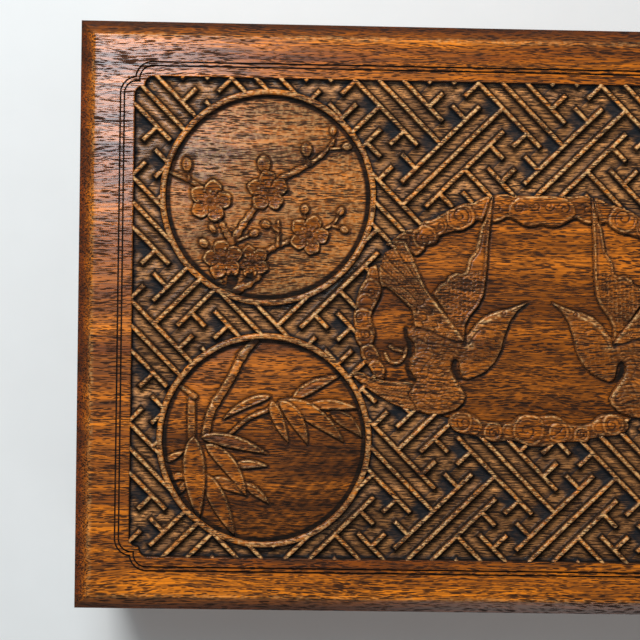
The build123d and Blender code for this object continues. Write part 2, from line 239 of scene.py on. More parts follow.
finish(["bottom_panel"], stained("bottom wood", (0.2, 0.075, 0.026), (0.36, 0.15, 0.05), (90, 60, 400))[0])
stain_sides("wall_", "wall wood, ", (145.5, 91.5, 18, 82),
            ((500, -20, 7), (-340, 45, 90), (210, 33, -40), (-120, 80, 150)))


# Lining.
# Thin mitred strips of a plainer, lighter wood, glued inside the walls. They stand proud
# of them to locate the lid, and have only been oiled.

lining_deep, lining_warm = (0.3, 0.15, 0.062), (0.47, 0.26, 0.115)
lining_long = stained("lining wood, long", lining_deep, lining_warm, (75, 510, 33))[0]
lining_short = stained("lining wood, short", lining_deep, lining_warm, (5, 75, 12), pi / 2)[0]
finish(["lining_front", "lining_back"], lining_long)
finish(["lining_left", "lining_right"], lining_short)


# Hinges and latch.
# Pressed and turned brass, aged brown where hands don't rub it: two butt hinges with
# their pins and countersunk screws, and a swing hook between two tacked plates.

tree, inlet, outlet = new_group("aged brass", {"Place": "Vector", "Age": "Float"},
                                {"Color": "Color", "Roughness": "Float", "Height": "Float"})
aged_brass = tree
spots = clouds_of(inlet["Place"], (0.5, 0.5, 0.5), 5.0)
brushed = clouds_of(inlet["Place"], (0.6, 9, 9))
age = sums("ADD", spots, sums("MULTIPLY_ADD", inlet["Age"], 0.4, -0.2))
age = between(age, 0.38, 0.66)
color = tint(age, (0.72, 0.5, 0.2, 1), (0.26, 0.155, 0.06, 1))
color = tint(between(brushed, 0.4, 0.7, 0.0, 0.25), color, (0.16, 0.09, 0.035, 1))
feed(outlet, {"Color": color, "Roughness": sums("MULTIPLY_ADD", age, 0.22, 0.27),
              "Height": sums("MULTIPLY", brushed, 0.02)})


def brass(name, age):
    """Brass, from bright at 0 to brown at 1."""
    made, tree, shader, spot_mm = fresh(name)
    metal = add(tree, "Group", {"Place": spot_mm, "Age": age}, node_tree=aged_brass)
    dress(shader, metal, 0.5, {"Metallic": 1.0})
    return made


leaf_brass, small_brass = brass("hinge and plate brass", 0.55), brass("pin, screw and hook brass", 0.35)
finish(["hinge_body_leaf_left", "hinge_body_leaf_right", "hinge_lid_leaf_left", "hinge_lid_leaf_right",
        "latch_plate", "catch_plate"], leaf_brass)
finish(["hinge_pin_left", "hinge_pin_right", "hinge_screws_body", "hinge_screws_lid", "latch_plate_tacks",
        "latch_rivet", "latch_hook", "catch_plate_tacks", "catch_post"], small_brass)


# Lid rims.
# The sides of the lid, finger-jointed like the walls and glued round the tongue of the
# carved board.

stain_sides("lid_rim_", "rim wood, ", (145.5, 91.5, 82, 102),
            ((650, 25, 40), (-410, -15, 66), (150, -44, 71), (-270, 92, 18)))


# Lid panel.
# One solid board with its grain along the lid and a bevel all round. The double incised line
# is darkened, as dirt and painted shade, and the arrises of the bevel are lightened, as wear
# and a painted highlight.

lid_deep, lid_warm = (0.28, 0.06, 0.002), (0.88, 0.23, 0.006)
edges = (144, 90, 102, 114)
lid_wood, grain, spot_mm = stained("lid wood", lid_deep, lid_warm, edges=edges, wear_and_highlight=0.3)
axes = split(spot_mm)
height = axes[2]                           # above the table, in millimetres
off_x, off_y = sums("ABSOLUTE", axes[0]), sums("ABSOLUTE", axes[1])
# Dirt and painted shade darken what lies below the top's plane, but not the bevel or the underside.
deep_in = between(height, 113.98, 113.88)
for value, clean, full in ((off_x, 138, 137), (off_y, 84, 83), (height, 108, 109)):
    deep_in = sums("MULTIPLY", deep_in, between(value, clean, full))
# The bevel is darker, as stain and painted shade, most of all on the long sides.
on_bevel = between(height, 114.0, 111.6)
on_bevel = sums("MULTIPLY", on_bevel, between(height, 102.2, 103.5, 0.35, 1.0))
at_long = between(off_y, 89.8, 90.6)
bevel_deep = tint(at_long, (0.085, 0.013, 0.001, 1), (0.05, 0.01, 0.001, 1))
bevel_warm = tint(at_long, (0.29, 0.05, 0.001, 1), (0.17, 0.036, 0.002, 1))
on_bevel = sums("MAXIMUM", on_bevel, sums("MULTIPLY", at_long, 0.75))
feed(grain, {"Hollow": deep_in, "Deep": tint(on_bevel, (*lid_deep, 1), bevel_deep),
             "Warm": tint(on_bevel, (*lid_warm, 1), bevel_warm)})
finish(["lid_panel"], lid_wood)


# Edge of the sunk field.
# The shoulder where the fillet turns down into the field, cut round with a knife. It
# follows the field's outline, whose corners step in with two round lobes.

lid_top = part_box("lid_panel")[1].z
field_x, field_y, field_lobe = 131.5, 77.5, 3.2
lobes = ((field_x - 2 * field_lobe, field_y - field_lobe), (field_x - field_lobe, field_y - 2 * field_lobe))
field_floor = -2.15


def placed(bm, name, material):
    """A finished piece of the carving: from millimetres under the lid's top to the frame's metres."""
    bmesh.ops.recalc_face_normals(bm, faces=bm.faces)
    from_lid = Matrix.Translation((0, 0, lid_top)) @ Matrix.Scale(0.001, 4)
    bmesh.ops.transform(bm, matrix=from_lid, verts=bm.verts)
    for face in bm.faces:
        face.smooth = True
    mesh = bpy.data.meshes.new(name)
    bm.to_mesh(mesh)
    bm.free()
    piece = bpy.data.objects.new(name, mesh)
    scene.collection.objects.link(piece)
    mesh.materials.append(material)
    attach(piece, "lid")


def field_outline(inset):
    """The field's outline as points, drawn in by an inset."""
    corner = []
    r = field_lobe - inset
    steps = 8
    for cx, cy in lobes:
        for i in range(steps + 1):
            turn = pi / 2 * (1 - i / steps)
            corner.append((cx + r * cos(turn), cy + r * sin(turn)))
    back = corner[::-1]
    return corner + [(x, -y) for x, y in back] + [(-x, -y) for x, y in corner] + [(-x, y) for x, y in back]


bm = bmesh.new()
loops = []
for inset, depth in ((-0.05, -0.02), (0.2, -0.04), (0.4, -0.14), (0.54, -0.4), (0.62, -0.9),
                     (0.66, field_floor), (-0.05, field_floor)):
    ring = [bm.verts.new((x, y, depth)) for x, y in field_outline(inset)]
    loops.append([bm.edges.new((a, b)) for a, b in zip(ring, ring[1:] + ring[:1])])
for first, second in zip(loops, loops[1:] + loops[:1]):
    bmesh.ops.bridge_loops(bm, edges=first + second)
placed(bm, "field_edge", lid_wood)


# Key fret.
# The ground of the field: a diagonal lattice of interlocked keys, cut about 2 mm deep
# with flat-topped bars. Black stain was left in the bottom and wiped off the bars; a painted
# shadow widens it in front of each bar, and the bars' tops carry a painted highlight.

key_step = 5.583
key_start = (-29.2, 53.2)
fret_lines = (-1.75, -1.15, -0.8, -0.55, -0.3, 0.3, 0.55, 0.8, 1.15, 1.75, key_step / 2)
fret_profile = ((0, -0.04), (0.3, -0.06), (0.55, -0.24), (0.8, -1.15), (1.15, -1.88), (1.75, -2.03),
                (2.8, -1.98))
# A block of the fret: three bars along one diagonal, with stubs on the outer two.
key_bars = [((-4, 0), (4, 0)), ((-3, 1), (3, 1)), ((-3, -1), (3, -1)), ((-2, 1), (-2, 2)), ((2, 1), (2, 2)),
            ((-2, -1), (-2, -2)), ((2, -1), (2, -2))]
roundels = {"plum": (-88.1, 39.1), "bamboo": (-88.1, -39.1), "orchid": (88.1, 39.1),
            "chrysanthemum": (88.1, -39.1)}
ring_mid = 33.7
# The oval picture's outlines. All but the low clouds are mirrored on the right.
clouds = [
    [(-52.9, 18.2), (-52.1, 15.8), (-51.6, 12.1), (-51, 9.9), (-51.8, 7.2), (-53.8, 3.7), (-54.4, 1.3),
     (-54, -0.8), (-53.1, -3), (-52.9, -5.1), (-53.7, -7.5), (-52.2, -9.4), (-51.3, -11.5), (-51, -13.1),
     (-49.7, -14.9), (-49.4, -17.3), (-49.9, -19.2), (-52, -18.7), (-53.4, -17.1), (-54.5, -15),
     (-56.4, -13.2), (-57.4, -11), (-57.5, -8.6), (-58.9, -6.8), (-59.5, -4.4), (-59.5, -2), (-59.9, 0.7),
     (-59.8, 2.8), (-59.4, 5.7), (-58.6, 8.6), (-57.9, 11), (-56, 13.8), (-55.6, 17)],
    [(-19.2, 32.5), (-20.7, 33.4), (-22.2, 31.7), (-25.2, 29.9), (-29.3, 29.2), (-32.9, 27.9),
     (-33.1, 26.4), (-34.4, 25.3), (-37.3, 24.7), (-37.6, 23.4), (-39, 21.8), (-40.9, 21.1), (-43.5, 24),
     (-50.3, 24.7), (-48.2, 25.9), (-45, 28.4), (-42.8, 29.7), (-39.9, 29.5), (-38.7, 32.2), (-36, 32.5),
     (-34.3, 33.3), (-32.1, 34.6), (-29.7, 36.1), (-27.7, 37.1), (-24.3, 38.4), (-22, 38.5), (-18.6, 40.5),
     (-16.3, 40.9)],
    [(-16.3, 40.8), (-12.2, 41.6), (-9.9, 41), (-5.7, 41), (2, 41.4), (2, 31.6), (-0.2, 32), (-2.4, 31.3),
     (-5.5, 31.4), (-7.8, 32.7), (-10.9, 34.5), (-13.1, 33), (-15.8, 32.4), (-19, 33.5)]]
low_clouds = [
    [(-28.9, -31.9), (-27.7, -29.8), (-24.8, -28.7), (-21.1, -29.7), (-18.2, -31.7), (-17.3, -34.6),
     (-19.7, -36.1), (-23.4, -36.2), (-26.4, -35.2), (-28.4, -33.5)],
    [(-17.7, -32.6), (-13.6, -32.1), (-9.3, -32.8), (-8.6, -35.3), (-9.2, -37.2), (-11.8, -38.5),
     (-15.1, -38.3), (-18.1, -37.1), (-18.9, -35.5)],
    [(12, -33.4), (16.1, -32.5), (17.5, -34.9), (16.7, -38.7), (14.2, -38.3), (12.1, -37.1)],
    [(17.4, -32.4), (19.8, -29.5), (24.7, -28.6), (28.5, -30.6), (30.2, -32.7), (28.4, -35), (24, -36.2),
     (19.5, -36)],
    [(-8.6, -33.2), (-6.6, -30.3), (-2.9, -29.4), (1.2, -30.2), (4.1, -29.3), (7, -30.1), (9.5, -32.1),
     (11.4, -32.9), (12.1, -35), (10.5, -37.1), (6.8, -38.8), (3.5, -39.7), (-2.7, -39.8), (-6, -38.4),
     (-9.2, -37)]]
low_band = [(-28, -32.5), (-22, -31), (-17, -32.2), (-8, -32.5), (0, -31.5), (8, -32.5), (14, -33),
            (22, -31), (29, -32.5), (27, -35.4), (20, -36.3), (13.5, -38), (8, -38.2), (-8, -38.2),
            (-16, -37.8), (-22, -36.2), (-26, -35.2)]
floor_half = [(0, 37), (-9, 37.5), (-17, 37), (-24, 35), (-31, 31.5), (-38, 27.5), (-44, 25), (-50, 22),
              (-52, 16), (-54, 12), (-55.5, 8), (-57, 3), (-57, -3), (-56, -7), (-54.8, -11),
              (-52.5, -15.5), (-50, -19.5), (-46, -24), (-38, -28.8), (-31, -30.3), (-23, -32.5),
              (-14, -34.8), (-2, -35), (0, -35)]
floor_outline = floor_half + [(-x, y) for x, y in reversed(floor_half[1:-1])]
tail = [(-34, -19), (-39.4, -19.6), (-44, -19.4), (-46.6, -19.7), (-49.9, -19.2), (-52, -18.7),
        (-54.7, -18), (-56.9, -16.6), (-61.3, -16), (-58.7, -19.1), (-54.6, -22.2), (-50.6, -24.6),
        (-46.5, -26.9), (-42.5, -28.2), (-38.4, -29.2), (-34.4, -30.2), (-31, -26)]


def held(value):
    """A value held between 0 and 1."""
    return np.clip(value, 0, 1)


def within(x, y, outline):
    """How far inside a closed outline each point lies, in mm; less than 0 outside."""
    best = np.full(x.shape, 1e9)
    odd = np.zeros(x.shape, bool)
    for (ax, ay), (bx, by) in zip(outline, outline[1:] + outline[:1]):
        dx, dy = bx - ax, by - ay
        share = held(((x - ax) * dx + (y - ay) * dy) / (dx * dx + dy * dy))
        best = np.minimum(best, (x - ax - share * dx) ** 2 + (y - ay - share * dy) ** 2)
        if dy:
            odd ^= ((ay > y) != (by > y)) & (x < dx * (y - ay) / dy + ax)
    return np.where(odd, 1, -1) * np.sqrt(best)


def eased(path, rounds=2):
    """A path with its corners cut off, a few times over; its ends stay."""
    for _ in range(rounds):
        cut = [path[0]]
        for (ax, ay), (bx, by) in zip(path, path[1:]):
            cut += [(a * ax + b * bx, a * ay + b * by) for a, b in ((0.75, 0.25), (0.25, 0.75))]
        path = cut + [path[-1]]
    return path


def rounded(outline):
    """A closed outline with its corners cut off once."""
    return eased(outline + outline[:1], 1)[:-1]


def oval_forms(x, y):
    """How far inside the oval's clouds, floor or the birds' tails each point lies."""
    inside = np.full(x.shape, -9.0)
    near = (np.abs(x) < 66) & (np.abs(y) < 46)
    side, y, x = -np.abs(x[near]), y[near], x[near]
    found = np.maximum(within(side, y, floor_outline), within(side, y, rounded(tail)))
    for outline in clouds:
        found = np.maximum(found, within(side, y, rounded(outline)))
    for outline in low_clouds + [low_band]:
        found = np.maximum(found, within(x, y, rounded(outline)))
    inside[near] = found
    return inside


def in_field(x, y):
    """How far inside the field's lobed outline each point lies."""
    x, y = np.abs(x), np.abs(y)
    lobe = field_lobe
    inside = np.minimum(field_x - 2 * lobe - x, field_y - y)
    inside = np.maximum(inside, np.minimum(field_x - x, field_y - 2 * lobe - y))
    inside = np.maximum(inside, np.minimum(field_x - 1.5 * lobe - x, field_y - 1.5 * lobe - y))
    for cx, cy in lobes:
        inside = np.maximum(inside, lobe - np.hypot(x - cx, y - cy))
    return inside


def uneven(x, y, size, seed):
    """A slow unevenness of a hand-cut line, about -1 to 1."""
    a, b = x / size, y / size
    return (np.sin(a + 1.7 * np.sin(b * 0.8 + seed)) + np.sin(b * 1.3 - 1.1 * np.cos(a * 0.9 + 2 * seed))
            + np.sin((a - b) * 2.1 + seed * 3)) / 3


def skin(name, x, y, z, keep, marks, material, underside=-2.17):
    """A carved surface over a grid of points, with straight sides down to a closed underside."""
    bm = bmesh.new()
    bmesh.ops.create_grid(bm, x_segments=x.shape[1] - 1, y_segments=x.shape[0] - 1, size=1)
    for vert, place in zip(bm.verts, zip(x.ravel(), y.ravel(), z.ravel())):
        vert.co = place
    for label, values in marks.items():
        layer = bm.verts.layers.float.new(label)
        for vert, value in zip(bm.verts, held(values).ravel()):
            vert[layer] = value
    bmesh.ops.delete(bm, geom=[v for v, kept in zip(bm.verts, keep.ravel()) if not kept], context="VERTS")
    bmesh.ops.delete(bm, geom=[v for v in bm.verts if not v.link_faces], context="VERTS")
    rim = [edge for edge in bm.edges if edge.is_boundary]
    sides = bmesh.ops.extrude_edge_only(bm, edges=rim)["geom"]
    for vert in (part for part in sides if isinstance(part, bmesh.types.BMVert)):
        vert.co.z = underside
    lower = [edge for edge in bm.edges if edge.is_boundary]
    bmesh.ops.triangle_fill(bm, edges=lower, use_beauty=False, use_dissolve=False)
    placed(bm, name, material)


# The fret's grid runs along its two diagonals, q and p, as far as the field's corners.
lines = np.array(sorted(key_step * n + offset for n in range(-31, 39) for offset in fret_lines))
along_lines = lines[(lines > -168) & (lines < 136)]
across_lines = lines[(lines > -94) & (lines < 210)]
q, p = np.meshgrid(along_lines, across_lines)
x = key_start[0] + (q + p) / 2 ** 0.5
y = key_start[1] + (q - p) / 2 ** 0.5
q = q + 0.05 * uneven(x, y, 6.1, 0.4)
p = p + 0.05 * uneven(x, y, 5.3, 2.6)
nearest, stain_and_shadow = np.full(x.shape, 9.0), np.zeros(x.shape)
next_q, next_p = np.full(x.shape, 99.0), np.full(x.shape, 99.0)
block = 5 * key_step
column, row = np.floor(q / block + 0.5), np.floor(p / block + 0.5)
for step_q in (-1, 0, 1):
    for step_p in (-1, 0, 1):
        i, j = column + step_q, row + step_p
        upright = (i + j) % 2 == 1
        for (a0, b0), (a1, b1) in key_bars:
            middle, half = ((a0 + a1) / 2, (b0 + b1) / 2), (abs(a1 - a0) / 2, abs(b1 - b0) / 2)
            to_q = i * block + key_step * np.where(upright, middle[1], middle[0]) - q
            to_p = j * block + key_step * np.where(upright, middle[0], middle[1]) - p
            half_q, half_p = (key_step * np.where(upright, half[1 - k], half[k]) for k in (0, 1))
            off_q = np.sign(to_q) * np.maximum(np.abs(to_q) - half_q, 0)
            off_p = np.sign(to_p) * np.maximum(np.abs(to_p) - half_p, 0)
            far = np.maximum(np.abs(off_q), np.abs(off_p))
            nearest = np.minimum(nearest, far)
            # Stain lies along each bar's foot, with a painted shadow that makes it wide along the front side
            # of each bar; it stays thin along its back.
            front = np.interp(far, (0.3, 0.55, 0.8, 1.15, 1.75, 2.6), (0, 0.6, 1, 1, 0.7, 0))
            back = np.interp(far, (0.3, 0.55, 0.8, 1.15, 1.75, 2.5), (0, 0.25, 1, 1, 0.4, 0))
            stain_and_shadow = np.maximum(stain_and_shadow, np.where(off_q > off_p, front, back))
            ahead, above = to_q - half_q, to_p - half_p
            beside, under = np.abs(to_p) <= half_p + 0.6, np.abs(to_q) <= half_q + 0.6
            next_q = np.where(beside & (ahead > 0), np.minimum(next_q, ahead), next_q)
            next_p = np.where(under & (above > 0), np.minimum(next_p, above), next_p)
rough = np.where(nearest < 0.7, 0.02, 0.03) * (uneven(x, y, 2.3, 1.2) - 1)
z = np.interp(nearest, *zip(*fret_profile)) + rough
# The pits beside a bar's end are blackest.
pocket = held((5.2 - next_q) / 1.3) * held((6.6 - next_p) / 1.7)
# Where the pictures stand the fret is left out; along their foot lies stain with painted shade.
taken = oval_forms(x, y)
foot = -taken
for cx, cy in roundels.values():
    far = np.hypot(x - cx, y - cy)
    taken = np.maximum(taken, ring_mid - far)
    foot = np.minimum(foot, far - ring_mid - 1.1)
foot = np.minimum(foot, in_field(x, y) - 0.6)
z = np.where(taken > 0.25, field_floor, z)
patches = 0.5 + 0.5 * uneven(x, y, 9.7, 5.1)
low = np.interp(nearest, (0.3, 0.55, 0.8), (0, 0.6, 1))
# The marks: stain with a painted shadow, the bluish-black pits and feet, and a painted highlight on the bars.
marks = {"hollow": low * np.maximum(stain_and_shadow, 0.25 * held(patches - 0.6)),
         "bluish_black": low * np.maximum(0.96 * pocket, np.interp(foot, (0.3, 0.6, 1.3), (0.9, 0.85, 0))),
         "crest": np.interp(nearest, (0, 0.3, 0.55, 0.8), (0.7, 0.95, 0.7, 0)) * (0.55 + 0.45 * patches)}


def read_marks(grain):
    """Lets the grain take the stain, painted shade and painted highlights that are kept on the carving's
    points.
    """
    for label in ("hollow", "bluish_black", "crest"):
        mark = add(grain.id_data, "Attribute", attribute_name=label).outputs["Fac"]
        feed(grain, {label.capitalize(): mark})


carved_wood, grain, spot_mm = stained("carved wood", lid_deep, lid_warm, polish=0.4)
read_marks(grain)
# Below the bars' tops the wood is rough and grey, with pale specks.
depth = between(split(spot_mm)[2], 113.5, 112.2)
specks = between(clouds_of(spot_mm, (1.1, 1.5, 1.5)), 0.5, 0.64, 0.0, 0.6)
greyer = between(clouds_of(spot_mm, (0.1, 0.1, 0.1)), 0.48, 0.62, 0.0, 0.5)
ground = tint(specks, (0.92, 0.38, 0.115, 1), (0.18, 0.08, 0.035, 1))
ground = tint(greyer, ground, (0.37, 0.185, 0.1, 1))
feed(grain, {"Deep": tint(depth, (*lid_deep, 1), (0.33, 0.135, 0.04, 1)),
             "Warm": tint(depth, (*lid_warm, 1), ground)})
kept = (in_field(x, y) > -0.9) & (taken < 1.4)
skin("key_fret", x, y, z, kept, marks, carved_wood, underside=-2.19)


# Rings of the roundels.
# A raised round-topped bead about 2 mm wide, cut from the solid round each of the four
# pictures, with the small unevenness of hand carving.

ring_profile = ((34.85, field_floor), (34.74, -0.9), (34.46, -0.24), (34.1, -0.08), (33.7, -0.03),
                (33.3, -0.08), (32.94, -0.24), (32.66, -0.9), (32.55, field_floor))
for name, (cx, cy) in roundels.items():
    bm = bmesh.new()
    profile = [bm.verts.new((r, 0, depth)) for r, depth in ring_profile]
    edges = [bm.edges.new((a, b)) for a, b in zip(profile, profile[1:] + profile[:1])]
    bmesh.ops.spin(bm, geom=profile + edges, cent=(0, 0, 0), axis=(0, 0, 1), angle=2 * pi, steps=180,
                   use_merge=True)
    bmesh.ops.remove_doubles(bm, verts=bm.verts, dist=0.001)
    dark = bm.verts.layers.float.new("hollow")
    light = bm.verts.layers.float.new("crest")
    for vert in bm.verts:
        turn = atan2(vert.co.y, vert.co.x)
        if vert.co.z > -1.5:
            vert.co.z -= 0.025 * (1 + sin(23 * turn + 2 * sin(5 * turn)))
            vert.co *= 1 + 0.0015 * sin(11 * turn + 3 * sin(3 * turn + cx))
        # Painted shade down the bead's sides and a painted highlight along its top.
        vert[dark] = min(1.0, max(0.0, (-vert.co.z - 0.2) / 0.5))
        vert[light] = 0.5 * max(0.0, 1 - abs(-vert.co.z - 0.12) / 0.3)
    bmesh.ops.translate(bm, verts=bm.verts, vec=(cx, cy, 0))
    placed(bm, "ring_" + name, carved_wood)


# Plum blossom roundel.
# Upper left picture: a gnarled branch with five open blossoms and buds, standing on a
# gently domed floor and outlined with a dark cut.

def bell(value, width, middle=0.0):
    """A smooth hump, 1 at its middle."""
    return np.exp(-((value - middle) / width) ** 2)


class Relief:
    """A carved picture: heights under the lid's top over an even grid, in millimetres."""

    def __init__(self, centre, half_x, half_y, pitch):
        self.centre, self.pitch = centre, pitch
        across = np.linspace(-half_x, half_x, int(2 * half_x / pitch) + 1)
        up = np.linspace(-half_y, half_y, int(2 * half_y / pitch) + 1)
        self.x, self.y = np.meshgrid(across, up)
        self.floor = self.dark_stain_and_shade = self.painted_highlight = np.zeros(self.x.shape)
        self.z = self.floor

    def stand(self, inside, top, edge, moat):
        """Stands a form up over what is there, in a dark cut of stain and painted shadow that is widest in
        front of it, with a painted highlight round its rim.
        """
        outside = np.minimum(inside, 0)
        self.z = self.z - moat * bell(outside, 0.5) * (inside < 0.1)
        share = held(inside / edge + 0.5)
        share = share * share * (3 - 2 * share)
        self.z = self.z * (1 - share) + top * share
        turned = 0.85 * (np.roll(inside, -1, axis=0) - inside) + 0.55 * (np.roll(inside, 1, axis=1) - inside)
        front, back = held(turned / self.pitch), held(-turned / self.pitch)
        # A dark line round the form: stain, widened by a painted shadow in front.
        line = bell(inside + 0.3 + 0.15 * front, 0.3 + 0.28 * front)
        line = np.minimum(1.5 * line, 1) * (0.75 + 0.25 * front)
        # Patchy stain and painted shade on the floor round the form's foot.
        foot_stain_and_shade = 0.4 * bell(outside, 1.7) * (uneven(self.x, self.y, 3.7, 2.2) > -0.1) * (inside < 0)
        strength = min(1.0, moat / 0.3)
        self.dark_stain_and_shade = np.maximum(self.dark_stain_and_shade * (1 - share), np.maximum(line, foot_stain_and_shade) * strength)
        # A painted highlight round the rim, strongest on the side toward the lamp.
        rim = bell(inside, 0.24, 0.36) * (0.35 + 0.65 * back) * strength
        self.painted_highlight = np.maximum(self.painted_highlight * (1 - share), 0.85 * rim)

    def score(self, away, width, depth):
        """Engraves a line, given the distance from it, darkened as stain and painted shade."""
        line = bell(away, width)
        self.z = self.z - depth * line
        self.dark_stain_and_shade = np.maximum(self.dark_stain_and_shade, min(0.95, 4.5 * depth) * line)

    def soften(self, reach):
        """The heights averaged over a square, twice."""
        n = max(1, int(reach / self.pitch))
        kernel = np.ones(2 * n + 1) / (2 * n + 1)
        soft = self.z
        for axis in (0, 1, 0, 1):
            soft = np.pad(soft, [(n, n) if k == axis else (0, 0) for k in (0, 1)], "edge")
            soft = np.apply_along_axis(lambda row: np.convolve(row, kernel, "valid"), axis, soft)
        return soft

    def near(self, path):
        return near_path(self.x, self.y, path)

    def within(self, outline):
        return within(self.x, self.y, outline)

    def shades(self):
        """Painted shade in the cuts, a painted shadow in front of a step, and a painted highlight on the high
        edges.
        """
        below = self.soften(0.9) - self.z
        n = max(1, int(0.5 / self.pitch))
        behind = np.roll(self.z, -n, axis=0) - self.z
        dark = held((below - 0.03) / 0.2) * (0.45 + 0.4 * held(behind / 0.2))
        light = held((-below - 0.03) / 0.16) * (0.15 + 0.85 * held(-behind / 0.2))
        light = light * (self.z > self.floor + 0.2)
        hollow = np.maximum(dark * (1 - 0.7 * self.painted_highlight), self.dark_stain_and_shade)
        return hollow, np.maximum(0.8 * light, self.painted_highlight) * (1 - self.dark_stain_and_shade)


def near_path(x, y, path):
    """The distance to a path, the share of its length there, and the side (1 on its left)."""
    best, share, side = np.full(x.shape, 1e9), np.zeros(x.shape), np.zeros(x.shape)
    steps = [hypot(bx - ax, by - ay) for (ax, ay), (bx, by) in zip(path, path[1:])]
    run = 0.0
    for (ax, ay), (bx, by), step in zip(path, path[1:], steps):
        dx, dy = (bx - ax) / step, (by - ay) / step
        t = np.clip((x - ax) * dx + (y - ay) * dy, 0, step)
        away = np.hypot(x - ax - t * dx, y - ay - t * dy)
        closer = away < best
        best = np.where(closer, away, best)
        share = np.where(closer, (run + t) / sum(steps), share)
        side = np.where(closer, np.sign(dx * (y - ay) - dy * (x - ax)), side)
        run += step
    return best, share, side


def twig(relief, path, start, end, rise, knots=0.0):
    """A round twig that narrows from one half width to another along its path."""
    away, share, _ = relief.near(eased(path))
    half = start + (end - start) * share + knots * np.sin(share * 31 + start * 7)
    crown = relief.floor + rise * (0.45 + 0.55 * np.sqrt(held(1 - (away / half) ** 2)))
    relief.stand(half - away, crown, 0.4, 0.32)


def swung(cx, cy, r, a):
    """The point at a distance and an angle from a centre."""
    return cx + r * cos(a), cy + r * sin(a)


def petal_flower(relief, cx, cy, r, turn):
    """An open blossom: overlapping petals with wavy raised rims round a hollow heart with stamens."""
    petals = 5
    dx, dy = relief.x - cx, relief.y - cy
    away, swing = np.hypot(dx, dy), np.arctan2(dy, dx) - turn
    lobe = np.abs(np.cos(swing * petals / 2)) ** 0.8
    outline = r * (0.66 + 0.34 * lobe + 0.03 * np.sin(11 * swing + cx) * lobe)
    inside = outline - away
    dish = held(inside / (0.5 * r))
    crown = relief.floor + 0.62 + 0.2 * bell(inside, 0.32, 0.4) - 0.3 * dish
    crown = crown + 0.05 * np.sin(14 * swing) * (1 - dish)
    relief.stand(inside, crown, 0.3, 0.36)
    for k in range(petals):
        a = turn + (k + 0.5) * 2 * pi / petals
        seam = [swung(cx, cy, 0.3 * r, a), swung(cx, cy, 0.55 * r, a + 0.12), swung(cx, cy, 0.8 * r, a)]
        relief.score(relief.near(seam)[0], 0.26, 0.26)
    relief.score(np.maximum(away - 0.16 * r, 0), 0.3, 0.16)
    for k in range(12):
        a = turn + k * pi / 6 + 0.2
        reach = (0.44, 0.56)[k % 2] * r
        relief.z = relief.z + 0.13 * bell(relief.near([(cx, cy), swung(cx, cy, reach, a)])[0], 0.2)
        tip = np.hypot(dx - reach * cos(a), dy - reach * sin(a))
        relief.stand(0.34 - tip, relief.floor + 0.72, 0.25, 0.12)
    relief.dark_stain_and_shade = np.maximum(relief.dark_stain_and_shade, 0.24 * held(inside - 0.6))


def bud(relief, cx, cy, wide, tall, turn):
    """A closed round bud with one seam."""
    a = (relief.x - cx) * cos(turn) + (relief.y - cy) * sin(turn)
    b = -(relief.x - cx) * sin(turn) + (relief.y - cy) * cos(turn)
    reach = np.hypot(a / (tall / 2), b / (wide / 2))
    crown = relief.floor + 0.25 + 0.45 * np.sqrt(held(1 - reach ** 2))
    relief.stand((1 - reach) * wide / 2, crown, 0.3, 0.3)
    relief.score(np.hypot(b - 0.12 * wide, np.maximum(a - 0.1 * tall, 0)) + 9 * (reach > 0.8), 0.18, 0.14)


def roundel(name):
    """The domed floor of a round picture, before anything stands on it."""
    relief = Relief(roundels[name], half_x=34.0, half_y=34.0, pitch=0.25)
    far = np.hypot(relief.x, relief.y)
    relief.floor = -1.0 - 0.62 * (far / 32.6) ** 3 + 0.035 * uneven(relief.x, relief.y, 4.4, len(name))
    relief.z = relief.floor
    return relief


def set_in(relief, name, lower_right_shade=0.0, glow=0.0):
    """Puts a round picture in its ring, with stain and painted shade at the ring's foot; a painted shade can
    darken the lower right, and the whole can be paler.
    """
    far = np.hypot(relief.x, relief.y)
    hollow, crest = relief.shades()
    # Stain and painted shade at the ring's foot.
    hollow = np.maximum(hollow, held((far - 30.9) / 0.6))
    mottled = 0.6 + 0.4 * uneven(relief.x, relief.y, 0.9, 3.3)
    crest = np.maximum(crest, glow * (0.5 + 0.5 * mottled) * (1 - hollow) * (relief.z < relief.floor + 0.1))
    # A painted shade toward the lower right.
    hollow = np.maximum(hollow, lower_right_shade * mottled * held((relief.x - relief.y - 1) / 20))
    relief.z = np.clip(relief.z, np.minimum(-1.36 - 0.6 * (far / 33) ** 2, -1.3), -0.06)
    cx, cy = relief.centre
    marks = {"hollow": hollow, "crest": crest}
    skin(name, relief.x + cx, relief.y + cy, relief.z, far < 33.9, marks, picture_wood)


